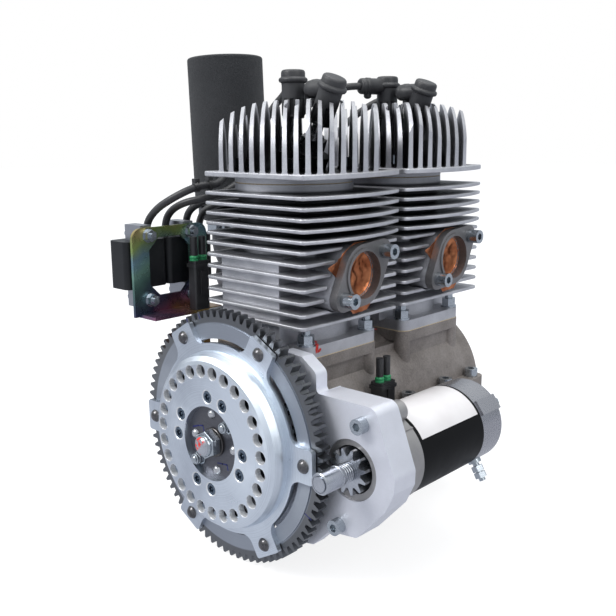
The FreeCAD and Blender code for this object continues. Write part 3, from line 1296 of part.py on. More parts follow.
seal_spots = [(0.0, -5.0), (0.0, 5.0)]
trigger_x = case_radius + 7.0
trigger_y = -172.0
trigger_bottom = split_thickness
trigger_height = 29.0
coil_plug_x = -76.0
coil_plug_y = -254.0
coil_plug_bottom = coil_plate_z[0] + coil_plate_thickness
coil_plug_height = 46.0
nodes["wire_connectors"] = group([
    make_connector(trigger_x, trigger_y, trigger_bottom, 14.0, 20.0, trigger_height),
    make_connector(coil_plug_x, coil_plug_y, coil_plug_bottom, 11.0, 17.0, coil_plug_height)])
trigger_top = trigger_bottom + trigger_height
coil_plug_top = coil_plug_bottom + coil_plug_height
nodes["connector_seals"] = group(make_seals(trigger_x, trigger_y, trigger_top, seal_spots)
                                 + make_seals(coil_plug_x, coil_plug_y, coil_plug_top, seal_spots))

# Closed sleeves that stand in the seals of both connectors
sleeve_radius = 3.4
sleeve_height = 17.0
nodes["seal_sleeves"] = group([rod_z(sleeve_radius, top + 5.0, top + 5.0 + sleeve_height, x + dx, y + dy)
                               for x, y, top in ((trigger_x, trigger_y, trigger_top),
                                                 (coil_plug_x, coil_plug_y, coil_plug_top))
                               for dx, dy in seal_spots])

os.makedirs("parts", exist_ok=True)
for name, shape in nodes.items():
    shape.exportStep("parts/" + name + ".step")
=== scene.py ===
import json
import math

import bmesh
import bpy
from mathutils import Matrix, Vector, noise


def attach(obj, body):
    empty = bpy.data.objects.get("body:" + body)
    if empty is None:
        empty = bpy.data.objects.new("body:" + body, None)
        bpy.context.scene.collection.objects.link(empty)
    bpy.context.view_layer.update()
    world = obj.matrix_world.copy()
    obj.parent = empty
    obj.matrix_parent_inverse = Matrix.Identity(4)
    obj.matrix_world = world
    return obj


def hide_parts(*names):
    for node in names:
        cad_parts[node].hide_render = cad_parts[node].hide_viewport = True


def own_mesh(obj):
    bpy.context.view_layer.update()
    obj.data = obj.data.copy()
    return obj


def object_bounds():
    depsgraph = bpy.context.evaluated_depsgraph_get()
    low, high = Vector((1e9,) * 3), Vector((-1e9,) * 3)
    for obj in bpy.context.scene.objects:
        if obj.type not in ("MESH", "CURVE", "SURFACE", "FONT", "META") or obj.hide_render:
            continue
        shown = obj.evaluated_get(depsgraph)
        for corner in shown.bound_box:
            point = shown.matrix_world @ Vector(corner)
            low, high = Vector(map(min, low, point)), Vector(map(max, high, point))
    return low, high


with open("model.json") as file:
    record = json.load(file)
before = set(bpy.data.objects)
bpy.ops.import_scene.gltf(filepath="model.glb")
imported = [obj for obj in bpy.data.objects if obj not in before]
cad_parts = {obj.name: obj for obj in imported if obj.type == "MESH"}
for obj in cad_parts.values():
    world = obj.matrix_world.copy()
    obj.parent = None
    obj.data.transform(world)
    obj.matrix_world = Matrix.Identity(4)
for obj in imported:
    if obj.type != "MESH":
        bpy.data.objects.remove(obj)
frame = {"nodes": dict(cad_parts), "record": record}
cad_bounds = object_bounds()
nodes = frame["nodes"]

MM = 0.001

# Camera, at the photograph's viewing angle
CAMERA_SPOT = Vector((0.51921, -0.74001, 0.26043))
CAMERA_TURN = math.radians(43.15)
CAMERA_DOWN = math.radians(12.0)
CAMERA_ROLL = math.radians(-0.37)
CAMERA_LENS = 48.225


def make_camera():
    data = bpy.data.cameras.new("camera")
    data.lens = CAMERA_LENS
    data.sensor_width = 36.0
    data.clip_end = 20.0
    camera = bpy.data.objects.new("camera", data)
    bpy.context.scene.collection.objects.link(camera)
    turn = Matrix.Rotation(CAMERA_TURN, 4, "Z") @ Matrix.Rotation(math.pi / 2 - CAMERA_DOWN, 4, "X")
    camera.matrix_world = Matrix.Translation(CAMERA_SPOT) @ turn @ Matrix.Rotation(CAMERA_ROLL, 4, "Z")
    bpy.context.scene.camera = camera


make_camera()


# Sizes of the finned castings
BORES_Y = {"front": -203.0, "rear": -67.0}
FIN_LOW_X = -51.0
FIN_HIGH_X = 70.0
FIN_HALF_Y = 63.6
FIN_BULGE = 12.0
STRAIGHT_FINS_Z = 169.5
TOP_FIN_Z = 211.0
PLATE_LOW_Z = 222.6
HEAD_TOP_Z = 288.0
HEAD_ROUND = 45.0

# Depths between which painted shade darkens the fins from their cast colour to near black, and the heights
# where that painted shade is lighter
HEAD_SHADE_DEPTH = (3.4, 11.0)
BARREL_SHADE_DEPTH = (2.5, 14.0)
LIGHT_SHADE_BELOW_Z = 150.0
FULL_SHADE_ABOVE_Z = 172.0
LIGHT_SHADE_SHARE = 0.2


# Shader building
class Shader:
    # a material with one Principled shader and short ways to add nodes to it

    def __init__(self, name, colour, roughness, metallic=0.0):
        self.material = bpy.data.materials.new(name)
        self.material.use_nodes = True
        self.tree = self.material.node_tree
        self.surface = self.tree.nodes["Principled BSDF"]
        self.put("Base Color", (*colour, 1.0))
        self.put("Roughness", roughness)
        self.put("Metallic", metallic)
        self.place = self.tree.nodes.new("ShaderNodeTexCoord").outputs["Object"]
        self.material.diffuse_color = (*colour, 1.0)

    def put(self, socket, value):
        self.surface.inputs[socket].default_value = value

    def wire(self, socket, output):
        self.tree.links.new(self.surface.inputs[socket], output)

    def add(self, kind, inputs, **settings):
        node = self.tree.nodes.new(kind)
        for key, value in settings.items():
            setattr(node, key, value)
        for key, value in inputs.items():
            if hasattr(value, "is_output"):
                self.tree.links.new(node.inputs[key], value)
            else:
                node.inputs[key].default_value = value
        return node

    def axes(self):
        return self.add("ShaderNodeSeparateXYZ", {"Vector": self.place}).outputs

    def crank_radius(self):
        # distance from the crank axis, in metres
        axes = self.axes()
        squares = [self.maths("POWER", axes[key], 2.0) for key in "XZ"]
        return self.maths("SQRT", self.maths("ADD", *squares))

    def mapped(self, scale):
        return self.add("ShaderNodeMapping", {"Vector": self.place, "Scale": scale}).outputs["Vector"]

    def noise(self, scale, detail=4.0, rough=0.55, where=None):
        inputs = {"Vector": where or self.place, "Scale": scale, "Detail": detail, "Roughness": rough}
        return self.add("ShaderNodeTexNoise", inputs).outputs["Fac"]

    def cells(self, scale, feature="F1"):
        node = self.add("ShaderNodeTexVoronoi", {"Vector": self.place, "Scale": scale}, feature=feature)
        return node.outputs["Distance"]

    def maths(self, operation, first, second=0.0):
        node = self.add("ShaderNodeMath", {0: first, 1: second}, operation=operation)
        return node.outputs[0]

    def spread(self, value, low, high, out_low=0.0, out_high=1.0):
        node = self.add("ShaderNodeMapRange", {"Value": value, "From Min": low, "From Max": high,
                                               "To Min": out_low, "To Max": out_high})
        return node.outputs["Result"]

    def blend(self, amount, first, second):
        node = self.add("ShaderNodeMix", {0: amount}, data_type="RGBA")
        for socket, value in ((node.inputs[6], first), (node.inputs[7], second)):
            if hasattr(value, "is_output"):
                self.tree.links.new(socket, value)
            else:
                socket.default_value = (*value, 1.0)
        return node.outputs[2]

    def bump(self, height, strength, depth):
        node = self.add("ShaderNodeBump", {"Height": height, "Strength": strength, "Distance": depth})
        self.wire("Normal", node.outputs["Normal"])


def cast_metal(name, light, dark, roughness, grain=900.0, grain_depth=0.00012, metallic=0.85):
    # blasted or sand-cast metal: cloudy colour, fine grain, uneven gloss
    s = Shader(name, light, roughness, metallic)
    cast_surface(s, light, dark, roughness, grain, grain_depth)
    return s.material


# near-black colour of the painted shade between the fins
PAINTED_SHADE_BLACK = (0.006, 0.006, 0.007)


def cast_surface(s, light, dark, roughness, grain, grain_depth, shade=None):
    clouds = s.noise(28.0, 5.0, 0.6)
    specks = s.noise(grain, 3.0, 0.7)
    mixed = s.maths("ADD", s.maths("MULTIPLY", clouds, 0.6), s.maths("MULTIPLY", specks, 0.4))
    colour = s.blend(s.spread(mixed, 0.38, 0.62), dark, light)
    # where shade is given, painted shade blends the colour towards near black
    if shade is not None:
        colour = s.blend(shade, colour, PAINTED_SHADE_BLACK)
    s.wire("Base Color", colour)
    s.wire("Roughness", s.spread(specks, 0.3, 0.7, roughness - 0.08, roughness + 0.12))
    s.bump(specks, 0.55, grain_depth)


def finned_metal(name, bore_y, light, dark, roughness, domed):
    # bright as-cast edges, with painted shade that darkens to near black in the depth between the fins
    s = Shader(name, light, roughness, 0.8)
    axes = s.axes()
    x, y, z = (axes[key] for key in "XYZ")
    across = s.maths("ABSOLUTE", s.maths("SUBTRACT", y, bore_y * MM))
    share = s.maths("POWER", s.maths("DIVIDE", across, FIN_HALF_Y * MM), 2.0)
    bow = s.maths("MULTIPLY", share, -FIN_BULGE * MM)
    if domed:
        high = s.maths("ADD", bow, (FIN_HIGH_X + FIN_BULGE) * MM)
    else:
        upper = s.maths("GREATER_THAN", z, STRAIGHT_FINS_Z * MM)
        bow = s.maths("MULTIPLY", s.maths("ADD", bow, FIN_BULGE * MM), upper)
        high = s.maths("ADD", bow, FIN_HIGH_X * MM)
    inner_x = s.maths("MINIMUM", s.maths("SUBTRACT", x, FIN_LOW_X * MM), s.maths("SUBTRACT", high, x))
    inner_y = s.maths("SUBTRACT", FIN_HALF_Y * MM, across)
    if domed:
        rise = s.maths("MAXIMUM", s.maths("SUBTRACT", z, (HEAD_TOP_Z - HEAD_ROUND) * MM), 0.0)
        rise = s.maths("POWER", rise, 2.0)
        sides = []
        for inner in (inner_x, inner_y):
            reach = s.maths("MAXIMUM", s.maths("SUBTRACT", HEAD_ROUND * MM, inner), 0.0)
            reach = s.maths("SQRT", s.maths("ADD", s.maths("POWER", reach, 2.0), rise))
            sides.append(s.maths("SUBTRACT", HEAD_ROUND * MM, reach))
        inner_x, inner_y = sides
    depth = s.maths("MINIMUM", inner_x, inner_y)
    near, far = HEAD_SHADE_DEPTH if domed else BARREL_SHADE_DEPTH
    shade = s.spread(depth, near * MM, far * MM, 0.0, 0.93)
    # the painted shade is lighter below the head plate, low down on the barrel and on the collar above the
    # top fin
    if domed:
        lift = s.spread(z, PLATE_LOW_Z * MM, (PLATE_LOW_Z + 1) * MM, LIGHT_SHADE_SHARE, 1.0)
    else:
        shade_by_height = s.spread(z, LIGHT_SHADE_BELOW_Z * MM, FULL_SHADE_ABOVE_Z * MM, LIGHT_SHADE_SHARE, 1.0)
        shade = s.maths("MULTIPLY", shade, shade_by_height)
        lift = s.spread(z, TOP_FIN_Z * MM, (TOP_FIN_Z + 2) * MM, 1.0, LIGHT_SHADE_SHARE)
    shade = s.maths("MULTIPLY", shade, lift)
    cast_surface(s, light, dark, roughness, 1300.0, 0.0003, shade)
    return s.material


def machined_metal(name, light, dark, roughness, scratch=(40.0, 40.0, 900.0), metallic=0.95):
    # cut or ground metal: fine lines one way, faint handling marks
    s = Shader(name, light, roughness, metallic)
    lines = s.noise(6.0, 6.0, 0.7, s.mapped(scratch))
    smears = s.noise(22.0, 4.0, 0.6)
    s.wire("Base Color", s.blend(s.spread(lines, 0.3, 0.7), dark, light))
    s.wire("Roughness", s.spread(smears, 0.3, 0.7, roughness - 0.07, roughness + 0.09))
    s.bump(lines, 0.35, 0.00003)
    return s.material


# where the painted fan-shaped sheen lies round the crank axis
PAINTED_SHEEN_PLACE = (0.4, 0.0, 2.1)
RINGS_PER_METRE = 2600.0


def turned_metal(name, light, dark, roughness, edge=None):
    # faced on a lathe about the crank axis: fine concentric rings, with a painted fan-shaped sheen and
    # painted shade towards the sides, more on the +X side
    s = Shader(name, light, roughness, 0.95)
    radius = s.crank_radius()
    rings = s.add("ShaderNodeTexNoise", {"W": s.maths("MULTIPLY", radius, RINGS_PER_METRE), "Scale": 0.6,
                                         "Detail": 3.0}, noise_dimensions="1D").outputs["Fac"]
    smears = s.noise(30.0, 4.0, 0.6)
    around = s.add("ShaderNodeVectorMath", {0: s.place}, operation="NORMALIZE").outputs["Vector"]
    flat = s.add("ShaderNodeMapping", {"Vector": around, "Location": PAINTED_SHEEN_PLACE, "Scale": (1.0, 0.0, 1.0)})
    # painted sheen: lighter and darker sectors round the crank axis
    painted_sheen = s.add("ShaderNodeTexNoise", {"Vector": flat.outputs["Vector"], "Scale": 1.15, "Detail": 1.5})
    mixed = s.maths("ADD", s.maths("MULTIPLY", rings, 0.14), s.maths("MULTIPLY", smears, 0.16))
    mixed = s.maths("ADD", mixed, s.maths("MULTIPLY", painted_sheen.outputs["Fac"], 0.7))
    # painted shade: darker towards both sides along X, more towards the +X side
    side = s.add("ShaderNodeSeparateXYZ", {"Vector": around}).outputs["X"]
    for sign, darker in ((1, 0.10), (-1, 0.05)):
        side_shade = s.spread(side, sign * 0.1, sign * 0.9)
        mixed = s.maths("SUBTRACT", mixed, s.maths("MULTIPLY", side_shade, darker))
    colour = s.blend(s.spread(mixed, 0.40, 0.60), dark, light)
    if edge:
        limit, outer_colour = edge
        colour = s.blend(s.spread(radius, limit, limit + 0.0015), colour, outer_colour)
    s.wire("Base Color", colour)
    s.wire("Roughness", s.spread(smears, 0.3, 0.7, roughness - 0.05, roughness + 0.08))
    s.put("Anisotropic", 0.75)
    tangent = s.add("ShaderNodeTangent", {}, direction_type="RADIAL", axis="Y")
    s.wire("Tangent", tangent.outputs[0])
    s.bump(rings, 0.15, 0.00002)
    return s.material


def rivet_steel():
    # bright rivets at the hub, dull oiled ones in the ring gear's ears
    s = Shader("rivet_steel", (0.55, 0.55, 0.57), 0.24, 0.85)
    stain = s.noise(260.0, 4.0, 0.6)
    amount = s.spread(stain, 0.35, 0.65)
    dull = s.blend(amount, (0.085, 0.083, 0.088), (0.17, 0.165, 0.17))
    bright = s.blend(amount, (0.46, 0.46, 0.48), (0.62, 0.62, 0.64))
    s.wire("Base Color", s.blend(s.spread(s.crank_radius(), 0.05, 0.06), bright, dull))
    s.bump(stain, 0.3, 0.00005)
    return s.material


LENGTHWISE = (12.0, 500.0, 12.0)
PAINTED_TIP_Y = -319.2


def painted_shaft():
    # steel of the crankshaft, with dabs of red paint on its front thread
    s = Shader("painted_shaft", (0.54, 0.56, 0.60), 0.24, 0.9)
    axes = s.axes()
    lines = s.noise(6.0, 6.0, 0.7, s.mapped(LENGTHWISE))
    steel = s.blend(s.spread(lines, 0.3, 0.7), (0.42, 0.44, 0.48), (0.56, 0.58, 0.62))
    dabs = s.spread(s.noise(210.0, 2.0, 0.5), 0.44, 0.50)
    tip = s.maths("LESS_THAN", axes["Y"], PAINTED_TIP_Y * MM)
    low = s.spread(s.maths("SUBTRACT", axes["Z"], axes["X"]), -0.001, 0.002)
    red = s.maths("MULTIPLY", s.maths("MULTIPLY", tip, low), dabs)
    s.wire("Base Color", s.blend(red, steel, (0.75, 0.03, 0.02)))
    s.wire("Metallic", s.spread(red, 0.0, 1.0, 0.9, 0.0))
    s.bump(lines, 0.3, 0.00003)
    return s.material


def dried_paint(name, colour, roughness):
    s = Shader(name, colour, roughness)
    dabs = s.noise(420.0, 4.0, 0.6)
    darker = tuple(c * 0.6 for c in colour)
    s.wire("Base Color", s.blend(s.spread(dabs, 0.3, 0.6), darker, colour))
    s.bump(dabs, 0.5, 0.00015)
    return s.material


def label_film():
    # plain white film, a little uneven with age
    s = Shader("label_film", (0.80, 0.79, 0.79), 0.32)
    fibre = s.noise(900.0, 3.0, 0.6)
    age = s.noise(26.0, 3.0, 0.5)
    s.wire("Base Color", s.blend(s.spread(age, 0.35, 0.7), (0.76, 0.735, 0.74), (0.68, 0.65, 0.655)))
    s.put("Coat Weight", 0.35)
    s.put("Coat Roughness", 0.2)
    s.bump(fibre, 0.2, 0.00002)
    return s.material


def satin_black(name, colour, roughness, grain=1400.0, depth=0.00005, patch=0.03, shine=0.5):
    # moulded rubber, resin, plastic or paint
    s = Shader(name, colour, roughness)
    specks = s.noise(grain, 3.0, 0.6)
    clouds = s.noise(35.0, 4.0, 0.6)
    lighter = tuple(c + patch for c in colour)
    s.wire("Base Color", s.blend(s.spread(clouds, 0.4, 0.75), colour, lighter))
    s.wire("Roughness", s.spread(clouds, 0.3, 0.7, roughness - 0.05, roughness + 0.12))
    s.put("Specular IOR Level", shine)
    s.bump(specks, 0.4, depth)
    return s.material


def copper_foil():
    s = Shader("copper_foil", (0.62, 0.24, 0.11), 0.3, 1.0)
    creases = s.cells(95.0, "DISTANCE_TO_EDGE")
    folds = s.noise(60.0, 3.0, 0.6)
    s.wire("Base Color", s.blend(s.spread(folds, 0.35, 0.7), (0.26, 0.080, 0.034), (0.60, 0.235, 0.11)))
    height = s.maths("ADD", s.maths("MULTIPLY", creases, 0.6), folds)
    s.bump(height, 0.7, 0.0010)
    return s.material


COIL_PLATE_Y = (-312.0, -226.0)
COIL_PLATE_Z = (94.0, 180.0)


def chromate():
    # yellow chromate plating: green and blue up the near edge, violet and gold low down
    s = Shader("chromate_plate", (0.30, 0.36, 0.22), 0.26, 0.9)
    axes = s.axes()
    drift = s.noise(22.0, 3.0, 0.5)
    lift = s.spread(axes["Z"], COIL_PLATE_Z[0] * MM, COIL_PLATE_Z[1] * MM)
    across = s.spread(axes["Y"], COIL_PLATE_Y[0] * MM, COIL_PLATE_Y[1] * MM)
    field = s.maths("ADD", s.maths("MULTIPLY", lift, 0.62), s.maths("MULTIPLY", drift, 0.5))
    field = s.maths("SUBTRACT", field, s.maths("MULTIPLY", across, 0.12))
    ramp = s.add("ShaderNodeValToRGB", {"Fac": field})
    stops = [(0.12, (0.50, 0.34, 0.11)), (0.24, (0.34, 0.14, 0.22)), (0.33, (0.08, 0.09, 0.16)),
             (0.46, (0.11, 0.21, 0.18)), (0.58, (0.21, 0.38, 0.30)), (0.68, (0.18, 0.30, 0.36)),
             (0.78, (0.30, 0.40, 0.13)), (0.90, (0.46, 0.36, 0.16))]
    band = ramp.color_ramp
    band.elements[0].position, band.elements[0].color = stops[0][0], (*stops[0][1], 1.0)
    band.elements[1].position, band.elements[1].color = stops[-1][0], (*stops[-1][1], 1.0)
    for position, colour in stops[1:-1]:
        band.elements.new(position).color = (*colour, 1.0)
    s.wire("Base Color", ramp.outputs["Color"])
    s.wire("Roughness", s.spread(s.noise(60.0), 0.3, 0.7, 0.2, 0.34))
    s.bump(s.noise(500.0), 0.25, 0.00005)
    return s.material


def foam():
    s = Shader("filter_foam", (0.035, 0.037, 0.043), 0.95)
    pores = s.cells(1500.0)
    broad = s.noise(24.0, 3.0, 0.5)
    pits = s.spread(pores, 0.15, 0.75)
    # painted shade: darker in the pores, where the bump sinks the surface
    s.wire("Base Color", s.blend(pits, (0.032, 0.034, 0.039), (0.015, 0.016, 0.019)))
    s.put("Sheen Weight", 0.08)
    s.put("Sheen Roughness", 0.6)
    s.wire("Roughness", s.spread(broad, 0.3, 0.7, 0.85, 1.0))
    s.bump(s.maths("SUBTRACT", 1.0, pits), 0.8, 0.0004)
    return s.material


def paper():
    s = Shader("gasket_paper", (0.62, 0.50, 0.33), 0.85)
    fibres = s.noise(700.0, 5.0, 0.7)
    s.wire("Base Color", s.blend(s.spread(fibres, 0.35, 0.65), (0.50, 0.38, 0.22), (0.72, 0.60, 0.42)))
    s.bump(fibres, 0.4, 0.0001)
    return s.material


def windings():
    s = Shader("copper_winding", (0.50, 0.20, 0.08), 0.35, 0.7)
    turns = s.add("ShaderNodeTexWave", {"Vector": s.place, "Scale": 420.0, "Distortion": 0.6},
                  bands_direction="Y").outputs["Fac"]
    s.wire("Base Color", s.blend(turns, (0.28, 0.10, 0.04), (0.62, 0.27, 0.11)))
    s.bump(turns, 0.6, 0.0002)
    return s.material


MATERIALS = {
    "cast_case": cast_metal("cast_case", (0.33, 0.295, 0.275), (0.17, 0.148, 0.136), 0.5, 620.0, 0.0004,
                            0.45),
    "machined_aluminium": turned_metal("machined_aluminium", (0.78, 0.84, 0.91), (0.32, 0.35, 0.41), 0.32),
    "bracket_aluminium": cast_metal("bracket_aluminium", (0.78, 0.79, 0.86), (0.70, 0.71, 0.77), 0.42, 2200.0,
                                    0.00004, 0.55),
    "gear_steel": turned_metal("gear_steel", (0.40, 0.43, 0.48), (0.28, 0.30, 0.34), 0.36,
                               edge=(0.1012, (0.17, 0.175, 0.185))),
    "magneto_steel": machined_metal("magneto_steel", (0.17, 0.17, 0.19), (0.09, 0.09, 0.10), 0.36),
    "shaft_steel": machined_metal("shaft_steel", (0.54, 0.56, 0.60), (0.42, 0.44, 0.48), 0.2, LENGTHWISE),
    "zinc_fasteners": machined_metal("zinc_fasteners", (0.58, 0.62, 0.66), (0.26, 0.29, 0.32), 0.17),
    "dark_fasteners": machined_metal("dark_fasteners", (0.16, 0.15, 0.15), (0.09, 0.085, 0.08), 0.32),
    "piston_alloy": machined_metal("piston_alloy", (0.66, 0.66, 0.66), (0.5, 0.5, 0.5), 0.3),
    "starter_paint": satin_black("starter_paint", (0.003, 0.003, 0.0035), 0.42, 500.0, 0.00003, 0.003, 0.1),
    "copper_winding": windings(),
    "copper_foil": copper_foil(),
    "chromate_plate": chromate(),
    "coil_resin": satin_black("coil_resin", (0.006, 0.007, 0.009), 0.42, 900.0, 0.00008, 0.008, 0.35),
    "core_steel": machined_metal("core_steel", (0.44, 0.45, 0.48), (0.28, 0.29, 0.32), 0.34),
    "plug_steel": machined_metal("plug_steel", (0.74, 0.74, 0.76), (0.56, 0.56, 0.58), 0.22),
    "black_rubber": satin_black("black_rubber", (0.022, 0.022, 0.025), 0.45),
    "green_rubber": satin_black("green_rubber", (0.015, 0.25, 0.09), 0.5),
    "black_plastic": satin_black("black_plastic", (0.016, 0.016, 0.018), 0.38),
    "filter_foam": foam(),
    "gasket_paper": paper(),
    "carburettor_alloy": cast_metal("carburettor_alloy", (0.58, 0.58, 0.59), (0.42, 0.42, 0.43), 0.42),
}

# Nodes with a finish of their own, among them the finned castings
OWN_FINISH = {
    "crankshaft": painted_shaft(),
    "flywheel_rivets": rivet_steel(),
    "exhaust_flanges": cast_metal("flange_steel", (0.25, 0.24, 0.245), (0.15, 0.145, 0.145), 0.4, 900.0,
                                  0.0001, 0.7),
    "starter_end_cap": cast_metal("end_cap_zinc", (0.40, 0.40, 0.43), (0.36, 0.36, 0.385), 0.26, 1500.0,
                                  0.00002, 0.9),
    "starter_nose": cast_metal("nose_alloy", (0.40, 0.39, 0.39), (0.31, 0.30, 0.30), 0.42, 1400.0, 0.00006,
                               0.7),
}
FIN_LIGHT = (0.66, 0.66, 0.69)
FIN_DARK = (0.44, 0.44, 0.47)
for end, bore_y in BORES_Y.items():
    for part, domed in (("cylinder", False), ("head", True)):
        node = end + "_" + part
        OWN_FINISH[node] = finned_metal(node + "_casting", bore_y, FIN_LIGHT, FIN_DARK, 0.42, domed)

for entry in frame["record"]["subparts"]:
    obj = nodes[entry["node"]]
    if not obj.data.materials:
        obj.data.materials.append(None)
    for slot in obj.material_slots:
        slot.material = OWN_FINISH.get(entry["node"]) or MATERIALS[entry["material_slot"]]


# Mesh building, in millimetres of the part's frame
def place_on(spot, way):
    # a frame whose Z runs along way and whose origin is at spot
    turn = Vector(way).to_track_quat("Z", "Y").to_matrix().to_4x4()
    return Matrix.Translation(Vector(spot)) @ turn


def lathe(bm, profile, place, steps=48):
    # profile holds radius and height pairs, the first and the last on the axis or a closed ring
    ring = [bm.verts.new((radius, 0.0, height)) for radius, height in profile]
    edges = [bm.edges.new(pair) for pair in zip(ring, ring[1:])]
    bmesh.ops.spin(bm, geom=ring + edges, cent=(0, 0, 0), axis=(0, 0, 1), steps=steps, angle=2 * math.pi,
                   use_merge=True)
    verts = set(ring)
    for face in bm.faces:
        if not face.tag:
            verts.update(face.verts)
            face.tag = True
    verts = [v for v in verts if v.is_valid]
    bmesh.ops.transform(bm, matrix=place, verts=verts)


def bevel_and_place(bm, verts, edges, offset, place):
    result = bmesh.ops.bevel(bm, geom=edges, offset=offset, offset_type="OFFSET", affect="EDGES", segments=2,
                             profile=0.5, material=-1)
    verts = list({v for f in result["faces"] for v in f.verts} | {v for v in verts if v.is_valid})
    bmesh.ops.transform(bm, matrix=place, verts=verts)
    for face in bm.faces:
        face.tag = True


def block(bm, low, high, place, bevel):
    size = Vector(high) - Vector(low)
    middle = (Vector(high) + Vector(low)) / 2
    shape = Matrix.Translation(middle) @ Matrix.Diagonal((*size, 1.0))
    verts = bmesh.ops.create_cube(bm, size=1.0, matrix=shape)["verts"]
    bevel_and_place(bm, verts, list({e for v in verts for e in v.link_edges}), bevel, place)


def settle(piece, body, replaced):
    # the piece joins its body, and the nodes that it takes the place of are hidden
    bpy.context.scene.collection.objects.link(piece)
    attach(piece, body)
    if replaced:
        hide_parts(*replaced)
    return piece


def finish_piece(name, bm, material, body, replaced=(), smooth=35.0):
    bmesh.ops.remove_doubles(bm, verts=bm.verts, dist=0.0005)
    bmesh.ops.recalc_face_normals(bm, faces=bm.faces)
    bmesh.ops.scale(bm, vec=(MM, MM, MM), verts=bm.verts)
    mesh = bpy.data.meshes.new(name)
    bm.to_mesh(mesh)
    bm.free()
    mesh.shade_smooth()
    mesh.set_sharp_from_angle(angle=math.radians(smooth))
    mesh.materials.append(material)
    return settle(bpy.data.objects.new(name, mesh), body, replaced)


def tube(name, points, radius, material, body, replaced=()):
    # a cord along one smooth open spline, its points in millimetres
    data = bpy.data.curves.new(name, "CURVE")
    data.dimensions = "3D"
    data.resolution_u = 10
    data.bevel_depth = radius * MM
    data.bevel_resolution = 5
    data.use_fill_caps = True
    spline = data.splines.new("NURBS")
    spline.points.add(len(points) - 1)
    for target, point in zip(spline.points, points):
        target.co = (point[0] * MM, point[1] * MM, point[2] * MM, 1.0)
    spline.order_u = 3
    spline.use_endpoint_u = True
    data.materials.append(material)
    return settle(bpy.data.objects.new(name, data), body, replaced)


# Spark plug caps, each with its elbow turned the way its lead leaves
PLUG_SEAT_Z = 244.0
PLUG_A = (-8.0, 8.0)
PLUG_B = (21.0, -1.0)
PLUG_B_TILT = {"front": math.radians(25.0), "rear": math.radians(22.0)}
CAP_START = {"a": 29.0, "b": 26.5}
CAP_LENGTH = 42.0
CAP_STEP = 16.3
CAP_RADIUS = 10.3
CAP_RIM = 12.9
ELBOW_RADIUS = 7.9
ELBOW_REACH = 32.0
CAP_ANGLES = {("front", "a"): 140.0, ("front", "b"): 168.0, ("rear", "a"): 250.0, ("rear", "b"): 171.0}
CAP_WAYS = {site: Vector((math.cos(math.radians(angle)), math.sin(math.radians(angle)), 0.0))
            for site, angle in CAP_ANGLES.items()}
FLUTES = 10
ELBOW_DROP = 10.0
NUB_REACH = 23.0


def plug_line(end, which):
    y = BORES_Y[end]
    if which == "a":
        return Vector((PLUG_A[0], y + PLUG_A[1], PLUG_SEAT_Z)), Vector((0, 0, 1))
    tilt = PLUG_B_TILT[end]
    return Vector((PLUG_B[0], y + PLUG_B[1], PLUG_SEAT_Z)), Vector((math.sin(tilt), 0, math.cos(tilt)))


def elbow_mouth(end, which):
    base, up = plug_line(end, which)
    return base + up * (CAP_START[which] + CAP_LENGTH - ELBOW_DROP) + CAP_WAYS[end, which] * ELBOW_REACH


def make_cap(end, which):
    base, up = plug_line(end, which)
    low = base + up * CAP_START[which]
    way = CAP_WAYS[end, which]
    bm = bmesh.new()
    top, step = CAP_LENGTH, CAP_STEP
    outline = [(5.3, 0.0), (9.2, 0.0), (9.8, 0.8), (9.8, 2.2), (9.1, 3.0), (9.1, step - 1.0), (9.6, step),
               (CAP_RADIUS, step + 0.8), (CAP_RADIUS, top - 11.8), (11.2, top - 11.2),
               (CAP_RIM - 0.5, top - 10.6), (CAP_RIM, top - 9.4), (CAP_RIM, top - 8.2),
               (CAP_RIM - 0.6, top - 7.3), (11.4, top - 6.8), (10.8, top - 6.2), (10.7, top - 2.6),
               (10.2, top - 1.1), (9.2, top - 0.3), (7.5, top), (0.0, top + 0.1)]
    lathe(bm, outline + [(0.0, top - 4.0), (5.3, top - 4.0), (5.3, 0.0)], place_on(low, up))
    for i in range(FLUTES):
        turn = Matrix.Rotation(2 * math.pi * i / FLUTES, 4, "Z")
        block(bm, (8.6, -1.5, 2.4), (CAP_RADIUS, 1.5, step + 0.6), place_on(low, up) @ turn, 0.5)
    root = elbow_mouth(end, which) - way * ELBOW_REACH
    elbow = [(0.0, 0.0), (ELBOW_RADIUS, 0.0), (ELBOW_RADIUS, 20.0), (ELBOW_RADIUS + 0.5, 21.0),
             (ELBOW_RADIUS + 0.5, 25.0), (ELBOW_RADIUS - 0.2, 25.6), (ELBOW_RADIUS - 0.2, 26.6),
             (ELBOW_RADIUS, 27.2), (ELBOW_RADIUS - 0.2, 30.5), (ELBOW_RADIUS - 1.0, 31.6),
             (ELBOW_RADIUS - 2.0, ELBOW_REACH), (3.6, ELBOW_REACH), (3.6, 26.0), (0.0, 26.0)]
    lathe(bm, elbow, place_on(root, way), 40)
    nub = [(0.0, 0.0), (3.8, 0.0), (3.8, 10.0), (3.0, 11.2), (1.6, 12.0), (0.0, 12.2)]
    lathe(bm, nub, place_on(root + way * NUB_REACH, (0, 0, -1)), 24)
    return finish_piece(end + "_cap_" + which, bm, MATERIALS["black_rubber"], "engine")


caps = [make_cap(end, which) for end in BORES_Y for which in "ab"]
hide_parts("plug_caps")

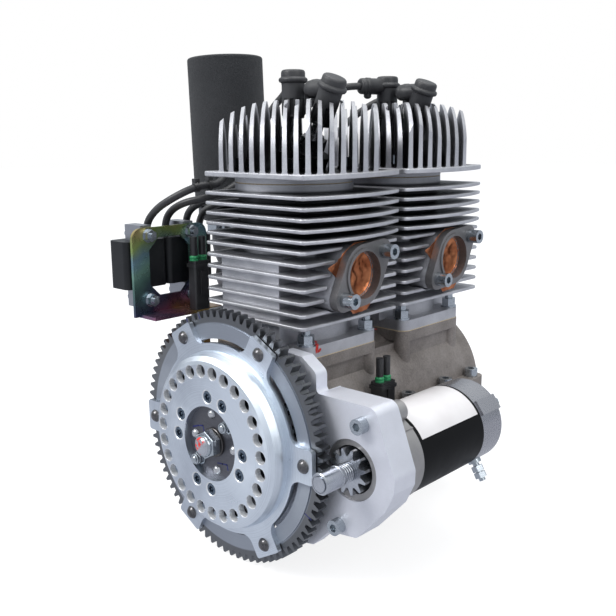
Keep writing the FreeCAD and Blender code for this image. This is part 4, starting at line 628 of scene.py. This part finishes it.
# Ignition leads, from the elbows to the coils
COIL_X = -119.0
COIL_TOP_Z = 164.5
LEAD_RADIUS = 3.5
LEAD_RISE = 13.0
LEAD_SUNK = 5.0
LEAD_START = {"a": 14.0, "b": 6.0}
LEAD_CLEAR = (11.5, 18.5)
LEAD_ROUTES = {
    ("front", "a"): (-280.5, [(-48, -164, 297), (-62, -168, 284), (-73, -174, 262), (-80, -190, 242),
                              (-80, -208, 228), (-76, -222, 217), (-72, -234.2, 213.4), (-72, -249, 214),
                              (-76, -262, 210.5), (-90, -272, 202), (-106, -278, 192)]),
    ("front", "b"): (-258.6, [(-14, -168, 297), (-36, -152, 288), (-56, -154, 268), (-64, -168, 246),
                              (-66, -196, 222), (-69, -222, 207), (-77, -244, 201), (-92, -254, 198),
                              (-109, -258, 190)]),
    ("rear", "a"): (-233.3, [(-32, -120, 299), (-50, -130, 288), (-66, -138, 266), (-72, -150, 240),
                             (-78, -176, 218), (-84, -204, 206), (-96, -224, 198), (-112, -232, 190)]),
    ("rear", "b"): (-217.0, [(-14, -36, 298), (-40, -44, 290), (-60, -62, 270), (-67, -90, 242),
                             (-68, -130, 218), (-70, -170, 204), (-83, -200, 196), (-106, -214, 191)]),
}


def make_lead(end, which):
    foot_y, middle = LEAD_ROUTES[end, which]
    mouth = elbow_mouth(end, which)
    way = CAP_WAYS[end, which]
    points = [mouth - way * LEAD_SUNK, mouth + way * LEAD_START[which]]
    if which == "b":
        # past the neighbouring cap
        beside = Vector((PLUG_A[0], BORES_Y[end] + PLUG_A[1], mouth.z - 1))
        points.append(beside + Vector((*LEAD_CLEAR, 0)))
    points += [Vector(p) for p in middle]
    points += [Vector((COIL_X, foot_y, COIL_TOP_Z + LEAD_RISE)), Vector((COIL_X, foot_y, COIL_TOP_Z))]
    node = end + "_lead_" + which
    return tube(node + "_cable", points, LEAD_RADIUS, MATERIALS["black_rubber"], "engine",
                (node,))


for end, which in LEAD_ROUTES:
    make_lead(end, which)


# Flywheel fastenings
CRANK_AXIS = (0.0, -1.0, 0.0)
DISH_FRONT_Y = -311.4
HUB_FRONT_Y = -305.4
SCREW_CIRCLE = 41.6
SCREW_ANGLES = (91.0, 64.5, 0.0, -26.0, -89.0, -116.0, 180.5, 154.0)
STUD_CIRCLE = 26.5
STUD_ANGLES = (45.0, 225.0)
VENT_COUNT = 27
VENT_CIRCLE = 63.7
FIRST_VENT = 4.0
BACK_INNER, BACK_BEND, BACK_OUTER = 54.1, 62.0, 71.2
BACK_DROP = 12.2
BACK_THICKNESS = 1.2
BACK_STEP = 0.2
BLUED_ZINC = machined_metal("blued_zinc", (0.19, 0.24, 0.30), (0.07, 0.09, 0.12), 0.2)
# pale, barely metallic finish that paints a highlight on the chamfers and vent walls
HIGHLIGHT_LINING = machined_metal("painted_highlight_aluminium", (0.86, 0.87, 0.89), (0.74, 0.75, 0.78), 0.3, metallic=0.25)


def about_crank(radius, angle, y):
    a = math.radians(angle)
    return (radius * math.cos(a), y, radius * math.sin(a))


def star_recess(bm, place, outer, inner, rim, depth, top):
    # a six-lobed hole with its flat ring of metal round it, closed at the bottom
    first = len(bm.verts)
    lobes = bmesh.ops.create_circle(bm, cap_ends=False, segments=48, radius=outer)["verts"]
    for vert in lobes:
        turn = math.atan2(vert.co.y, vert.co.x)
        reach = inner + (outer - inner) * (0.5 + 0.5 * math.cos(6 * turn))
        vert.co = Vector((reach * math.cos(turn), reach * math.sin(turn), top))
    ring = bmesh.ops.create_circle(bm, cap_ends=False, segments=48, radius=rim)["verts"]
    bmesh.ops.translate(bm, verts=ring, vec=(0, 0, top))
    lobe_edges = list({e for v in lobes for e in v.link_edges})
    ring_edges = list({e for v in ring for e in v.link_edges})
    bmesh.ops.bridge_loops(bm, edges=lobe_edges + ring_edges)
    walls = bmesh.ops.extrude_edge_only(bm, edges=lobe_edges)
    low = [g for g in walls["geom"] if isinstance(g, bmesh.types.BMVert)]
    bmesh.ops.translate(bm, verts=low, vec=(0, 0, -depth))
    low_edges = [g for g in walls["geom"] if isinstance(g, bmesh.types.BMEdge)
                 and all(abs(v.co.z - (top - depth)) < 0.001 for v in g.verts)]
    bmesh.ops.contextual_create(bm, geom=low_edges)
    bm.verts.ensure_lookup_table()
    made = list(bm.verts)[first:]
    bmesh.ops.transform(bm, matrix=place, verts=made)
    for face in bm.faces:
        face.tag = True


def hex_nut(bm, place, across, low, high):
    # a hexagon with both ends chamfered
    corner = across / math.sqrt(3)
    middle = Matrix.Translation((0, 0, (low + high) / 2))
    made = bmesh.ops.create_cone(bm, cap_ends=True, segments=6, radius1=corner, radius2=corner,
                                 depth=high - low, matrix=middle)
    verts = made["verts"]
    edges = [e for e in {e for v in verts for e in v.link_edges}
             if abs(e.verts[0].co.z - e.verts[1].co.z) < 0.001]
    bevel_and_place(bm, verts, edges, across * 0.055, place)


def thread_end(radius, low, high, pitch):
    # a stud's outline, groove after groove up to a chamfered tip
    profile = [(0.0, low), (radius, low)]
    z = low
    while z + pitch < high - 0.4:
        groove = (radius - pitch * 0.45, z + pitch * 0.6)
        profile += [(radius, z + pitch * 0.35), groove, (radius, z + pitch * 0.9)]
        z += pitch
    return profile + [(radius, high - 0.8), (radius - 0.7, high), (0.0, high)]


def make_flywheel_screws():
    bm = bmesh.new()
    for angle in SCREW_ANGLES:
        place = place_on(about_crank(SCREW_CIRCLE, angle, DISH_FRONT_Y), CRANK_AXIS)
        lathe(bm, [(4.6, -0.4), (5.1, -0.45), (5.3, -0.7), (3.0, -2.9), (3.0, -9.0), (0.0, -9.0)], place, 48)
        star_recess(bm, place, 3.5, 2.35, 4.6, 2.1, -0.4)
        lathe(bm, [(0.0, -2.4), (0.8, -2.4), (0.8, -1.0), (0.55, -0.8), (0.0, -0.8)], place, 12)
    return finish_piece("flywheel_star_screws", bm, BLUED_ZINC, "crank",
                        ("flywheel_screws",))


def make_bright_rims():
    # the chamfers and walls of the vents and the chamfers of the screw seats, as a pale, barely metallic
    # lining that paints their highlight
    bm = bmesh.new()
    for i in range(VENT_COUNT):
        angle = 360.0 * i / VENT_COUNT + FIRST_VENT
        place = place_on(about_crank(VENT_CIRCLE, angle, DISH_FRONT_Y), CRANK_AXIS)
        lathe(bm, [(5.62, -5.9), (5.62, -0.35), (6.05, 0.03), (6.15, 0.03), (6.15, 0.0), (5.8, -0.3),
                   (5.8, -5.9), (5.62, -5.9)], place, 36)
    for angle in SCREW_ANGLES:
        place = place_on(about_crank(SCREW_CIRCLE, angle, DISH_FRONT_Y), CRANK_AXIS)
        lathe(bm, [(5.45, -0.55), (6.0, 0.03), (6.35, 0.03), (6.35, 0.0), (6.1, -0.05), (5.55, -0.6),
                   (5.45, -0.55)], place, 40)
    return finish_piece("flywheel_highlight_rims", bm, HIGHLIGHT_LINING, "crank")


def make_hub_nuts():
    bm = bmesh.new()
    place = place_on((0, HUB_FRONT_Y, 0), CRANK_AXIS)
    hex_nut(bm, place, 22.0, 2.0, 11.4)
    collar = [(8.2, 11.2), (9.7, 11.2), (9.7, 12.8), (9.0, 13.9), (6.4, 14.1), (5.8, 13.6), (5.8, 11.4)]
    lathe(bm, collar, place, 48)
    lathe(bm, thread_end(5.7, 9.0, 15.0, 1.25), place, 40)
    for angle in STUD_ANGLES:
        place = place_on(about_crank(STUD_CIRCLE, angle, HUB_FRONT_Y), CRANK_AXIS)
        lathe(bm, [(3.2, 0.0), (6.3, 0.0), (6.5, 0.2), (6.5, 0.9), (6.3, 1.1), (3.2, 1.1)], place, 32)
        hex_nut(bm, place, 10.0, 1.1, 5.6)
        lathe(bm, [(3.6, 5.5), (4.7, 5.5), (4.7, 7.0), (4.2, 7.7), (3.5, 7.7)], place, 32)
        lathe(bm, thread_end(3.0, 1.0, 9.0, 0.8), place, 24)
    return finish_piece("hub_lock_nuts", bm, MATERIALS["zinc_fasteners"], "crank",
                        ("hub_nuts",))


def make_back_plate():
    # the thin steel ring that closes the flywheel's hollow behind its vents
    bm = bmesh.new()
    near, far = BACK_DROP + BACK_STEP, BACK_DROP + BACK_STEP + BACK_THICKNESS
    outline = [(BACK_INNER, BACK_DROP), (BACK_INNER, BACK_DROP + BACK_THICKNESS), (BACK_BEND, far),
               (BACK_OUTER, far), (BACK_OUTER, near), (BACK_BEND, near), (BACK_INNER, BACK_DROP)]
    lathe(bm, outline, place_on((0, HUB_FRONT_Y, 0), (0, 1, 0)), 96)
    return finish_piece("flywheel_back_plate", bm, MATERIALS["magneto_steel"], "crank")


def make_crank_washer():
    bm = bmesh.new()
    lathe(bm, [(8.2, 0.0), (12.4, 0.0), (12.8, 0.4), (12.8, 1.6), (12.4, 2.0), (8.2, 2.0), (8.2, 0.0)],
          place_on((0, HUB_FRONT_Y, 0), CRANK_AXIS), 64)
    return finish_piece("crank_washer", bm, MATERIALS["dark_fasteners"], "crank")


make_flywheel_screws()
make_bright_rims()
make_hub_nuts()
make_crank_washer()
make_back_plate()

# Stop cup on the starter's shaft, with its snap ring groove, and the spring behind it
STARTER_X = 126.5
CUP_TIP_Y = -309.7
CUP_REAR_Y = -287.3


def make_stop_cup():
    length = CUP_REAR_Y - CUP_TIP_Y
    profile = [(6.05, 0.9), (6.5, 0.5), (7.0, 0.5), (7.2, 0.0), (8.1, 0.0), (8.9, 0.8), (8.9, length - 5.2),
               (8.3, length - 4.8), (8.3, length - 3.6), (8.9, length - 3.2), (8.9, length - 2.0),
               (8.4, length - 1.6), (8.4, length), (6.05, length), (6.05, 0.9)]
    bm = bmesh.new()
    lathe(bm, profile, place_on((STARTER_X, CUP_TIP_Y, 0), (0, 1, 0)), 64)
    return finish_piece("turned_stop_cup", bm, MATERIALS["shaft_steel"], "starter_shaft",
                        ("stop_cup",))


def make_drive_spring():
    # the node's own coils, riding on the starter shaft
    bm = bmesh.new()
    bm.from_mesh(nodes["pinion_spring"].data)
    bmesh.ops.remove_doubles(bm, verts=bm.verts, dist=0.000005)
    bmesh.ops.scale(bm, vec=(1 / MM, 1 / MM, 1 / MM), verts=bm.verts)
    spring = finish_piece("drive_spring", bm, MATERIALS["shaft_steel"], "starter_shaft",
                          ("pinion_spring",))
    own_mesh(spring)


make_stop_cup()
make_drive_spring()

# Plain film round the starter can
LABEL_Y = (-222.5, -140.0)
LABEL_ANGLES = (31.0, 120.0)
LABEL_GAP = 0.02
LABEL_THICKNESS = 0.12
CAN_RADIUS = 37.5


def make_label():
    bm = bmesh.new()
    inner, outer = CAN_RADIUS + LABEL_GAP, CAN_RADIUS + LABEL_GAP + LABEL_THICKNESS
    ends = [(inner, LABEL_Y[0]), (outer, LABEL_Y[0]), (outer, LABEL_Y[1]), (inner, LABEL_Y[1])]
    start = math.radians(LABEL_ANGLES[0])
    verts = [bm.verts.new((STARTER_X + r * math.cos(start), y, r * math.sin(start))) for r, y in ends]
    face = bm.faces.new(verts)
    bmesh.ops.spin(bm, geom=[face] + list(face.edges) + verts, cent=(STARTER_X, 0, 0), axis=(0, -1, 0),
                   angle=math.radians(LABEL_ANGLES[1] - LABEL_ANGLES[0]), steps=48, use_duplicate=False)
    return finish_piece("starter_label", bm, label_film(), "engine")


make_label()

# Crumpled foil blanking the exhaust ports
FOIL_X = 74.3
EXHAUST_Z = 142.0
FOIL_HOLLOW = 20.3
FOIL_THICKNESS = 0.08
FLANGE_REACH = 27.0
FOIL_SHEET = [(-5, 27.5), (-20, 20), (-26, 12), (-24, -8), (-14, -27), (-7, -34), (12, -33), (20, -24),
              (25, 4), (29, 21), (12, 27.5)]
FOIL_TIP = [(-16, 20), (-40, 9.5), (-22, -5), (-14, 0)]


def foil_sheet(bm, outline, y, step, seed, lift):
    # one sheet cut to its outline, pressed into the port, held by the flange and creased where it is free
    low = [min(p[i] for p in outline) for i in (0, 1)]
    high = [max(p[i] for p in outline) for i in (0, 1)]
    middle = [(a + b) / 2 for a, b in zip(low, high)]
    half = max(high[0] - low[0], high[1] - low[1]) / 2 + 1
    sheet = bmesh.new()
    bmesh.ops.create_grid(sheet, x_segments=int(2 * half / step), y_segments=int(2 * half / step), size=half)
    bmesh.ops.translate(sheet, verts=sheet.verts, vec=(middle[0], middle[1], 0))
    for a, b in zip(outline, outline[1:] + outline[:1]):
        side = Vector((a[1] - b[1], b[0] - a[0], 0)).normalized()
        bmesh.ops.bisect_plane(sheet, geom=list(sheet.verts) + list(sheet.edges) + list(sheet.faces),
                               plane_co=(a[0], a[1], 0), plane_no=-side, clear_outer=True)
    for vert in sheet.verts:
        dy, dz = vert.co.x, vert.co.y
        crease = abs(noise.noise(Vector((dy * 0.11, dz * 0.11, seed)))) * 2.4
        crease += abs(noise.noise(Vector((dy * 0.3, dz * 0.3, seed + 7)))) * 0.8
        reach = math.hypot(dy, dz)
        hollow = max(0.0, 1 - (reach / FOIL_HOLLOW) ** 2) ** 0.6
        free = max(0.0, min(1.0, (reach - FLANGE_REACH) / 6.0))
        out = lift * free * (0.5 + crease) + 0.25
        if hollow > 0:
            out = -hollow * (4.5 + 0.9 * crease)
        vert.co = Vector((FOIL_X + out, y + dy, EXHAUST_Z + dz))
    copy = bpy.data.meshes.new("foil_part")
    sheet.to_mesh(copy)
    sheet.free()
    bm.from_mesh(copy)
    bpy.data.meshes.remove(copy)


def make_foil():
    bm = bmesh.new()
    for y, seed in ((BORES_Y["front"], 3.0), (BORES_Y["rear"], 11.0)):
        foil_sheet(bm, FOIL_SHEET, y, 1.3, seed, 0.6)
        foil_sheet(bm, FOIL_TIP, y, 1.0, seed + 2, 1.0)
    foil = finish_piece("crumpled_foil", bm, MATERIALS["copper_foil"], "engine",
                        ("exhaust_foils",), 25.0)
    skin = foil.modifiers.new("foil_thickness", "SOLIDIFY")
    skin.thickness = FOIL_THICKNESS * MM
    skin.offset = 0.0


make_foil()

# Paint daubed on as tightening marks, and pen strokes
RED_PAINT = dried_paint("red_mark_paint", (0.62, 0.03, 0.02), 0.45)
BLUE_INK = dried_paint("blue_pen_ink", (0.02, 0.025, 0.16), 0.5)
GEAR_FRONT_Y = -290.2
HUB_PEN_WIDTH = 1.4
GEAR_PEN_WIDTH = 1.0

# Each daub has its place, the way it faces, half its length, half its width and its turn
RED_SPOTS = [((-1.2, -320.4, 3.6), (0, -1, 0), 3.0, 1.6, 20.0),
             ((-3.4, -320.4, 0.4), (0, -1, 0), 3.0, 1.5, 75.0),
             ((-6.6, -319.3, -1.5), (0, -1, 0), 2.2, 1.0, 110.0),
             ((-3.6, -319.3, -6.2), (0, -1, 0), 2.6, 1.0, 140.0)]
RED_BASE = [((48.5, -229.5, 82.9), (0, 0, 1), 4.2, 2.2, -40.0),
            ((53.5, -234.5, 82.9), (0, 0, 1), 6.5, 2.2, -40.0),
            ((60.1, -239.5, 80.5), (1, 0, 0), 4.2, 1.8, 75.0),
            ((60.1, -236.5, 78.4), (1, 0, 0), 3.0, 1.4, 30.0),
            ((82.0, -64.5, 12.1), (0, 0, 1), 2.2, 1.4, 10.0),
            ((57.0, -158.5, 82.9), (0, 0, 1), 3.0, 1.0, 40.0)]

# Each stroke is a line of points across the crank axis and up
PEN_HUB = [((-27.8, 7.3), (-21.0, 9.9), (-14.6, 11.4), (-13.4, 7.1)),
           ((4.0, -18.2), (10.0, -17.4), (15.8, -16.7), (16.9, -20.9))]
PEN_GEAR = [((-51.4, 98.6), (-49.2, 95.1)), ((-34.4, 105.0), (-32.3, 101.5)), ((-29.0, 95.8), (-27.7, 90.3)),
            ((84.4, -32.5), (88.0, -37.0), (91.0, -38.5)), ((91.3, -41.2), (99.3, -45.1))]


def make_daubs(name, spots, body):
    bm = bmesh.new()
    for spot, way, long, wide, turn in spots:
        place = place_on(spot, way) @ Matrix.Rotation(math.radians(turn), 4, "Z")
        made = bmesh.ops.create_icosphere(bm, subdivisions=3, radius=1.0)["verts"]
        for vert in made:
            ragged = 1 + 0.35 * noise.noise(Vector((vert.co.x * 2, vert.co.y * 2, spot[0])))
            vert.co = place @ Vector((vert.co.x * long * ragged, vert.co.y * wide * ragged, vert.co.z * 0.3))
    return finish_piece(name, bm, RED_PAINT, body)


def make_strokes(name, strokes, y, width):
    bm = bmesh.new()
    for stroke in strokes:
        for a, b in zip(stroke, stroke[1:]):
            start, end = Vector((a[0], y, a[1])), Vector((b[0], y, b[1]))
            along = (end - start).normalized()
            out = Vector(CRANK_AXIS)
            turn = Matrix((along, out, along.cross(out))).transposed().to_4x4()
            length = (end - start).length + width / 2
            block(bm, (-width / 2, -0.05, -width / 2), (length, 0.06, width / 2),
                  Matrix.Translation(start) @ turn, 0.04)
    return finish_piece(name, bm, BLUE_INK, "crank")


make_daubs("crank_nut_paint", RED_SPOTS, "crank")
make_daubs("base_nut_paint", RED_BASE, "engine")
make_strokes("hub_pen_strokes", PEN_HUB, HUB_FRONT_Y, HUB_PEN_WIDTH)
make_strokes("gear_pen_strokes", PEN_GEAR, GEAR_FRONT_Y, GEAR_PEN_WIDTH)

# Floor, walls and light
FLOOR_Z = cad_bounds[0][2] - 0.0005
FLOOR_RADIUS = 9.0
FLOOR_COLOUR = (0.30, 0.30, 0.31)
FLOOR_GLOW = 0.82
GLOSS_COLOUR = (0.86, 0.90, 1.0)
FLOOR_GLOSS = 0.72
WALL_LIGHT = (0.40, 0.44, 0.50)
CEILING_LIGHT = (0.95, 0.99, 1.0)
MIDDLE = (0.0, -0.13, 0.1)


def white_for_view(tree, plain):
    # the camera and glass see white and gloss sees a pale wall, while all else sees the plain surface
    path = tree.nodes.new("ShaderNodeLightPath")
    seen = tree.nodes.new("ShaderNodeMath")
    seen.operation = "MAXIMUM"
    tree.links.new(seen.inputs[0], path.outputs["Is Camera Ray"])
    tree.links.new(seen.inputs[1], path.outputs["Is Transmission Ray"])
    glow = tree.nodes.new("ShaderNodeEmission")
    glow.inputs["Strength"].default_value = FLOOR_GLOW
    both = tree.nodes.new("ShaderNodeAddShader")
    tree.links.new(both.inputs[0], plain)
    tree.links.new(both.inputs[1], glow.outputs[0])
    gloss = tree.nodes.new("ShaderNodeEmission")
    gloss.inputs["Color"].default_value = (*GLOSS_COLOUR, 1)
    gloss.inputs["Strength"].default_value = FLOOR_GLOSS
    mirror = tree.nodes.new("ShaderNodeMixShader")
    tree.links.new(mirror.inputs[0], path.outputs["Is Glossy Ray"])
    tree.links.new(mirror.inputs[1], plain)
    tree.links.new(mirror.inputs[2], gloss.outputs[0])
    choose = tree.nodes.new("ShaderNodeMixShader")
    tree.links.new(choose.inputs[0], seen.outputs[0])
    tree.links.new(choose.inputs[1], mirror.outputs[0])
    tree.links.new(choose.inputs[2], both.outputs[0])
    return choose.outputs[0]


def stage_material(name, colour):
    material = bpy.data.materials.new(name)
    material.use_nodes = True
    tree = material.node_tree
    tree.nodes.clear()
    out = tree.nodes.new("ShaderNodeOutputMaterial")
    diffuse = tree.nodes.new("ShaderNodeBsdfDiffuse")
    diffuse.inputs["Color"].default_value = (*colour, 1.0)
    tree.links.new(out.inputs["Surface"], white_for_view(tree, diffuse.outputs[0]))
    return material


def make_floor():
    mesh = bpy.data.meshes.new("floor")
    bm = bmesh.new()
    bmesh.ops.create_circle(bm, cap_ends=True, segments=96, radius=FLOOR_RADIUS)
    bmesh.ops.translate(bm, verts=bm.verts, vec=(0, 0, FLOOR_Z))
    bm.to_mesh(mesh)
    bm.free()
    floor = bpy.data.objects.new("floor", mesh)
    bpy.context.scene.collection.objects.link(floor)
    mesh.materials.append(stage_material("floor", FLOOR_COLOUR))


def area_light(name, spot, size, power):
    data = bpy.data.lights.new(name, "AREA")
    data.shape = "RECTANGLE"
    data.size, data.size_y = size
    data.energy = power
    lamp = bpy.data.objects.new(name, data)
    bpy.context.scene.collection.objects.link(lamp)
    spot = Vector(spot)
    turn = (Vector(MIDDLE) - spot).to_track_quat("-Z", "Y")
    lamp.matrix_world = Matrix.Translation(spot) @ turn.to_matrix().to_4x4()


def make_world():
    # white behind the object, a soft bright ceiling and dimmer walls for gloss and fill
    world = bpy.data.worlds.new("studio")
    bpy.context.scene.world = world
    world.use_nodes = True
    tree = world.node_tree
    tree.nodes.clear()
    out = tree.nodes.new("ShaderNodeOutputWorld")
    seen = tree.nodes.new("ShaderNodeBackground")
    seen.inputs["Color"].default_value = (1, 1, 1, 1)
    way = tree.nodes.new("ShaderNodeTexCoord").outputs["Generated"]
    rise = tree.nodes.new("ShaderNodeSeparateXYZ")
    tree.links.new(rise.inputs[0], way)
    ramp = tree.nodes.new("ShaderNodeValToRGB")
    tree.links.new(ramp.inputs[0], rise.outputs["Z"])
    stops = ramp.color_ramp.elements
    stops[0].position, stops[0].color = 0.0, (*WALL_LIGHT, 1)
    stops[1].position, stops[1].color = 0.85, (*CEILING_LIGHT, 1)
    fill = tree.nodes.new("ShaderNodeBackground")
    tree.links.new(fill.inputs["Color"], ramp.outputs["Color"])
    path = tree.nodes.new("ShaderNodeLightPath")
    choose = tree.nodes.new("ShaderNodeMixShader")
    tree.links.new(choose.inputs[0], path.outputs["Is Camera Ray"])
    tree.links.new(choose.inputs[1], fill.outputs[0])
    tree.links.new(choose.inputs[2], seen.outputs[0])
    tree.links.new(out.inputs["Surface"], choose.outputs[0])


make_floor()
make_world()
area_light("key", (-0.7, -1.6, 1.5), (0.9, 0.9), 27.0)
area_light("side", (1.7, -0.3, 1.3), (0.8, 1.2), 9.0)
area_light("top", (0.1, 0.0, 1.9), (1.4, 1.0), 16.0)
bpy.context.scene.view_settings.view_transform = "Standard"
